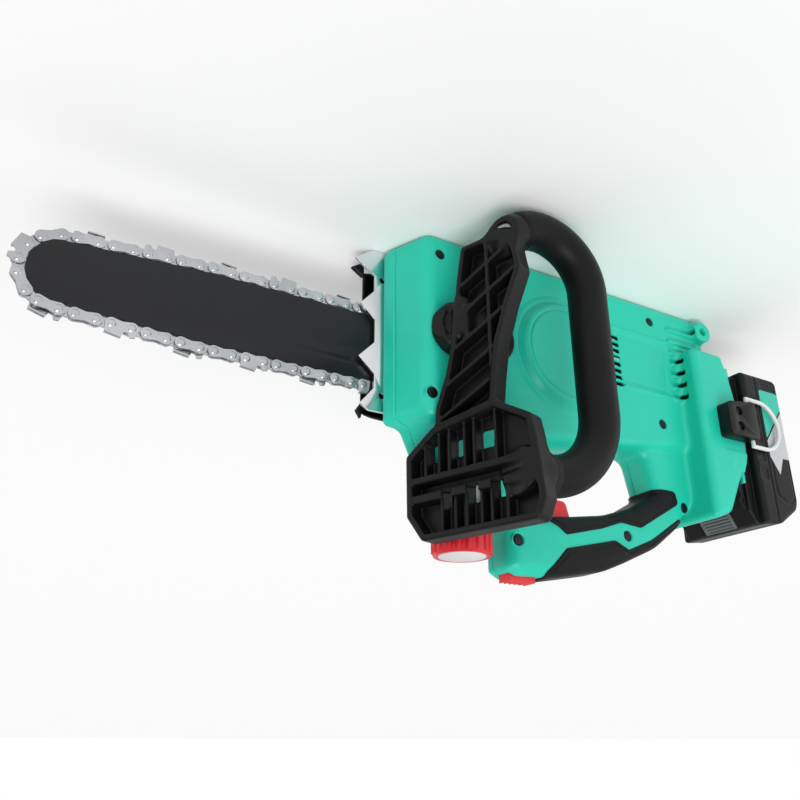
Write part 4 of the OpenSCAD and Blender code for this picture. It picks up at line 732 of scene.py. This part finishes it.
def sweep(name, centres, frames, radii, segments):
    """A closed tube along centres, with a radius at each."""
    pts, faces = [], []
    for c, (u, v), r in zip(centres, frames, radii):
        for j in range(segments):
            a = 2 * math.pi * j / segments
            pts.append(np.array(c) + r * (math.cos(a) * np.array(u) + math.sin(a) * np.array(v)))
    n = len(centres)
    for i in range(n - 1):
        for j in range(segments):
            k = (j + 1) % segments
            faces.append([i * segments + j, i * segments + k, (i + 1) * segments + k, (i + 1) * segments + j])
    o = mesh_object(name, pts, faces)
    bm = bmesh.new()
    bm.from_mesh(o.data)
    bmesh.ops.holes_fill(bm, edges=[e for e in bm.edges if e.is_boundary], sides=0)
    bmesh.ops.recalc_face_normals(bm, faces=bm.faces)
    bm.to_mesh(o.data)
    bm.free()
    o.data.shade_smooth()
    return o


def loop_points(step_deg=3):
    """The loop handle's centreline in X and Z with its tangent."""
    top_x, top_r = TOP_BEND
    low_x, low_z, low_r = LOW_BEND
    top_z = LOOP_TOP - top_r
    out = [((x, LOOP_TOP), (-1, 0)) for x in (5.98, top_x)]
    for r in np.radians(np.arange(90, 180.1, step_deg)):
        out.append(((top_x + top_r * math.cos(r), top_z + top_r * math.sin(r)), (-math.sin(r), math.cos(r))))
    for z in np.linspace(126, 50, 20):
        out.append(((LOOP_X, z), (0, -1)))
    for r in np.radians(np.arange(180, 305.1, step_deg)):
        out.append(((low_x + low_r * math.cos(r), low_z + low_r * math.sin(r)), (-math.sin(r), math.cos(r))))
    return out


def build_loop():
    """The loop handle's sleeve, its radius easing in at both ends."""
    path = loop_points()
    centres, frames, radii = [], [], []
    total = [0.0]
    for (a, _), (b, _) in zip(path, path[1:]):
        total.append(total[-1] + math.dist(a, b))
    length = total[-1]
    for ((x, z), (tx, tz)), s in zip(path, total):
        centres.append((x, LOOP_Y, z))
        frames.append(((0, 1, 0), (-tz, 0, tx)))
        near_end = min(s, length - s)
        radii.append(LOOP_R - 0.8 * math.exp(-near_end / 0.8))
    o = sweep("loop_grip", centres, frames, radii, 48)
    dress(o, "saw", ["handle_sleeve"], "rubber")


build_loop()

# ---------- softened copies of the crisp CAD nodes ----------


def soften(node, width):
    """A copy of a CAD node with its edges rounded, standing for the node."""
    source = frame["nodes"][node]
    mesh = source.data.copy()
    bm = bmesh.new()
    bm.from_mesh(mesh)
    bmesh.ops.remove_doubles(bm, verts=bm.verts, dist=1e-6)
    bmesh.ops.dissolve_limit(bm, angle_limit=math.radians(0.6), verts=bm.verts, edges=bm.edges)
    bm.to_mesh(mesh)
    bm.free()
    mesh.shade_smooth()
    o = add_object(node + "_edged", mesh)
    bevel = o.modifiers.new("edges", "BEVEL")
    bevel.width = width * MM
    bevel.segments = 2
    bevel.limit_method = "ANGLE"
    bevel.angle_limit = math.radians(32)
    bevel.use_clamp_overlap = True
    bevel.harden_normals = True
    dress(o, source["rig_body"], [node], finish_of(node))


EDGE_WIDTHS = {
    "spiked_bumper": 0.35, "bar_plates": 0.3, "chain_drive_links": 0.12, "chain_tie_straps": 0.16,
    "chain_cutters": 0.16, "oil_cap": 0.5, "cap_disc": 0.3, "ring_bracket": 0.9, "trigger": 1.6,
    "lock_off": 0.6, "battery_button": 0.6, "cover_knob": 0.7, "knob_washer": 0.2, "housing_screws": 0.3,
    "bracket_screws": 0.3,
}
for node_name, width in EDGE_WIDTHS.items():
    soften(node_name, width)

# ---------- motor cover ----------

LEAN = 0.707


def build_motor_cover():
    """A dish with a leaning side, a shallow ring groove and a broad round edge."""
    g = node_grid("motor_cover", cell(0.5))
    x, y, z = g
    radius = np.hypot(x - MOTOR[0], z - MOTOR[1])
    face = mm_box("motor_cover")[0][1]
    side = radius - 40 + (BLOCK_NEAR - y)
    disc = thick(np.maximum(side * LEAN, radius - 40), y, face, BLOCK_NEAR - 0.02, 1.2)
    disc = cut(disc, np.maximum(np.abs(radius - 31.5) - 0.6, y - (face + 0.7)), 0.5)
    disc = np.minimum(disc, rod_field(g, 1, MOTOR, 33.6, BLOCK_NEAR - 1, BLOCK_NEAR + 2))
    disc = cut(disc, rod_field(g, 1, MOTOR, 30.5, face + 2, BLOCK_NEAR + 9))
    moulded("motor_disc", g, disc, "saw", ["motor_cover"], "teal")


build_motor_cover()

# ---------- sprocket cover ----------

COVER = [[-32, 18, 14], [48, 9, 8], [69, 11, 4], [69, 115, 4], [46, 117, 8], [-30, 116, 20]]
TIPS = [[79.2, 9.5], [74.8, 42.6], [75.5, 80.7], [73.8, 112.4]]
COVER_SLANT = math.radians(52)
COVER_TILT = math.radians(38)
KNOB = [34, 71]
TENSION_SCREW = [33, 58]


def build_cover():
    """The cover over the drive sprocket, with the knob's dish, ribs, teeth and the chain's way out."""
    g = node_grid("sprocket_cover", cell(0.7))
    x, y, z = g
    (_, outer, _), (_, face, _) = mm_box("sprocket_cover")
    flat = side_field(g, COVER)
    front = (x - 69) * math.cos(COVER_SLANT) + (y - 30) * math.sin(COVER_SLANT)
    top = (y - 30) * math.sin(COVER_TILT) + (z - 118) * math.cos(COVER_TILT)
    solid = thick(flat, y, outer - 20, face, 4)
    for plane in (front, top):
        solid = -melt(-solid, -plane, 5)
    shape = cut(solid, rod_field(g, 1, KNOB, 23, face - 1.6, face + 5, 0.8), 1.0)
    for k in range(6):
        x0 = -24 + 6.2 * k
        shape = cut(shape, box_field(g, x0 - 0.4, x0 + 3.0, face - 1.2, face + 3, 38, 96, 1.2), 0.8)
    border = np.maximum(np.abs(flat + 6) - 0.5, -(solid + 0.6))
    shape = cut(shape, border, 0.4)
    cavity = np.maximum(np.maximum(flat + 2.4, y - (face - 2.4)), np.maximum(front, top) + 2.4)
    shape = cut(shape, cavity)
    for tx, tz in TIPS:
        tooth = side_field(g, [[66, tz - 7, 0], [tx - 4, tz - 1, 0], [66, tz + 5, 0]])
        shape = np.minimum(shape, thick(tooth, y, 29.5, 33.5, 0.6))
    # blocks behind the knob and round the tension screw, then the room for the bar and the bores
    shape = np.minimum(shape, box_field(g, 26, 56, 25.05, face - 1, 64, 83, 0.5))
    shape = np.minimum(shape, box_field(g, 24, 28, 28, face - 1, 53, 63))
    shape = cut(shape, box_field(g, 46, 120, -10, 29.5, -10, 220))
    shape = cut(shape, box_field(g, -60, 60, -10, 27.3, -10, 30))
    for sx in STUDS_X:
        shape = cut(shape, rod_field(g, 1, (sx, BAR_Z), 4.3, 0, 60))
    shape = cut(shape, rod_field(g, 0, TENSION_SCREW, 2.6, 20, 100))
    shape = cut(shape, rod_field(g, 0, TENSION_SCREW, 4.2, 55.8, 100))
    shape = np.maximum(shape, outer - y)
    moulded("drive_cover", g, shape, "saw", ["sprocket_cover"], "black")


build_cover()

# ---------- battery ----------

PACK = [[-258.5, 46, 5], [-218.5, 46, 2], [-218.5, 163, 2], [-238, 160.5, 10], [-256, 149, 8],
        [-258.5, 142, 4]]
PACK_NOSE = [[-220.5, 49, 0], [-201.6, 49, 2], [-201.6, 136, 4], [-209, 150, 6], [-217.5, 162.2, 2],
             [-220.5, 163, 0]]
NOSE_HALF = 31
LABEL_FRAME = [[-255, 62, 3], [-236, 62, 3], [-236, 140, 6], [-247, 146, 5], [-255, 140, 3]]
PACK_HALF = 38.0
PACK_SPLIT = -232.0
BUTTON = [-213.8, 156.2]
BUTTON_SLOPE = math.radians(55)


def pack_field(g):
    """The battery's outside, with its grooves, ribs, slots and the release button's well."""
    x, y, z = g
    case = thick(side_field(g, PACK), y, -PACK_HALF, PACK_HALF, 3.5)
    nose = thick(side_field(g, PACK_NOSE), y, -NOSE_HALF, NOSE_HALF, 1.5)
    out = np.minimum(case, nose)
    # a groove round each side's label, and two rows of grip ribs
    groove = np.abs(side_field(g, LABEL_FRAME)) - 0.5
    for m in (-1, 1):
        side = m * PACK_HALF
        lo, hi = sorted((side - m * 0.7, side + m * 2))
        out = cut(out, np.maximum(groove, np.maximum(lo - y, y - hi)), 0.4)
        for k in range(4):
            out = cut(out, box_field(g, -254, -238, lo, hi, 49.5 + 2.9 * k, 50.9 + 2.9 * k, 0.5), 0.4)
        for k in range(5):
            out = cut(out, box_field(g, -229, -221.5, lo, hi, 66 + 14 * k, 74 + 14 * k, 0.5), 0.4)
    # rear face: charge gauge window and finger ribs
    out = cut(out, box_field(g, -262, -257.8, -16, 16, 118, 128, 1.2), 0.4)
    for k in range(6):
        out = cut(out, box_field(g, -262, -257.7, -24, 24, 58 + 6 * k, 60.4 + 6 * k, 0.8), 0.4)
    # terminal slots, rail grooves, and the release button's well
    for yy in (-9, -3, 3, 9):
        out = cut(out, box_field(g, -209, -150, yy - 1, yy + 1, 40, 97))
    for m in (-1, 1):
        y0, y1 = sorted((m * (NOSE_HALF - 3), m * (NOSE_HALF + 1)))
        out = cut(out, box_field(g, -211, -207, y0, y1, 0, 200))
    c, s = math.cos(BUTTON_SLOPE), math.sin(BUTTON_SLOPE)
    along = (x - BUTTON[0]) * c - (z - BUTTON[1]) * s
    over = (x - BUTTON[0]) * s + (z - BUTTON[1]) * c
    well = np.maximum(np.maximum(np.abs(along) - 6.8, np.abs(y) - 13.8), -(over + 7.5))
    return cut(out, well, 0.4)


def build_pack():
    """The battery's two halves, hollow, with a shadow line where they part."""
    for half, sign in (("front", -1), ("back", 1)):
        g = node_grid("battery_case_" + half, cell(0.7))
        x = g[0]
        f = pack_field(g)
        out = cut(f, f + 1.4)
        seam = np.abs(x - PACK_SPLIT) - 0.35
        out = cut(out, np.maximum(seam, -(f + 0.6)), 0.3)
        out = np.maximum(out, sign * (x - PACK_SPLIT))
        moulded("pack_" + half, g, out, "battery", ["battery_case_" + half], "black")


build_pack()


def label(name, points, y, thickness, material):
    """A thin bare panel drawn in X and Z, inlaid in the battery."""
    pts = arc_corners(points, 5)
    bm = bmesh.new()
    verts = [bm.verts.new((p[0] * MM, y * MM, p[1] * MM)) for p in pts]
    face = bm.faces.new(verts)
    out = bmesh.ops.extrude_face_region(bm, geom=[face])
    moved = [v for v in out["geom"] if isinstance(v, bmesh.types.BMVert)]
    bmesh.ops.translate(bm, verts=moved, vec=(0, thickness * MM, 0))
    bmesh.ops.recalc_face_normals(bm, faces=bm.faces)
    mesh = bpy.data.meshes.new(name)
    bm.to_mesh(mesh)
    bm.free()
    o = add_object(name, mesh)
    bevel = o.modifiers.new("edges", "BEVEL")
    bevel.width = 0.08 * MM
    bevel.limit_method = "ANGLE"
    dress(o, "battery", [], material)


GREEN_PANEL = [[-256, 58, 3], [-235, 58, 2], [-235, 97, 0], [-256, 71, 0]]
SILVER_PANEL = [[-256, 73, 0], [-235, 99, 0], [-235, 111, 0], [-243, 124, 0], [-249, 111, 0], [-256, 111, 0]]
LABEL_PROUD = 0.12
for side_sign, tag in ((-1, "near"), (1, "far")):
    proud = side_sign * LABEL_PROUD
    foot = side_sign * PACK_HALF - proud
    label("label_green_" + tag, GREEN_PANEL, foot, 2 * proud, "label_green")
    label("label_silver_" + tag, SILVER_PANEL, foot, 2 * proud, "label_silver")

# ---------- floor, light and camera ----------

FLOOR_HALF = 60
FLOOR_DROP = 0.0004
FLOOR_WHITE = 0.97

paper, _, _, paper_shader = new_material("floor_paper")
paper_shader.inputs["Base Color"].default_value = (*grey(FLOOR_WHITE), 1)
paper_shader.inputs["Roughness"].default_value = 0.95
floor_mesh = bpy.data.meshes.new("floor")
bm = bmesh.new()
bmesh.ops.create_grid(bm, x_segments=1, y_segments=1, size=FLOOR_HALF)
bm.to_mesh(floor_mesh)
bm.free()
floor_mesh.materials.append(paper)
floor = add_object("floor", floor_mesh)
floor.location = (0, 0, -FLOOR_DROP)

world = bpy.data.worlds.new("studio")
world.use_nodes = True
wn, wl = world.node_tree.nodes, world.node_tree.links
direction = wn.new("ShaderNodeSeparateXYZ")
wl.new(wn.new("ShaderNodeTexCoord").outputs["Generated"], direction.inputs[0])
# white at the horizon, so that the far floor runs into it, and dimmer overhead
SKY_STOPS = [(0.0, grey(1.0)), (0.06, grey(1.0)), (0.2, grey(SKY)), (1.0, grey(SKY))]
wl.new(ramp(wn, wl, direction.outputs[2], SKY_STOPS), wn["Background"].inputs[0])
bpy.context.scene.world = world


def sun(name, towards, power, soft_deg):
    """A soft distant light that shines along a direction."""
    data = bpy.data.lights.new(name, "SUN")
    data.energy = power
    data.angle = math.radians(soft_deg)
    o = add_object(name, data)
    o.rotation_euler = Vector(towards).to_track_quat("-Z", "Y").to_euler()


sun("key", (-0.35, 0.75, -0.85), 1.5, 35)
sun("fill", (0.9, 0.8, -0.45), 0.45, 60)
sun("top", (0.1, -0.25, -1.0), 0.6, 60)

CAMERA_AT = (0.28167, -0.39684, 0.30474)
camera_data = bpy.data.cameras.new("camera")
camera_data.lens = 36.8
camera_data.sensor_width = 36
camera_data.clip_start = 0.01
camera = add_object("camera", camera_data)
right = Vector((-0.8686, -0.4955, 0)).normalized()
back = Vector((0.4569, -0.8010, 0.3868)).normalized()
up = back.cross(right).normalized()
right = up.cross(back).normalized()
turned = Matrix((right, up, back)).transposed().to_4x4()
camera.matrix_world = Matrix.Translation(CAMERA_AT) @ turned
bpy.context.scene.camera = camera
bpy.context.scene.view_settings.view_transform = "Standard"
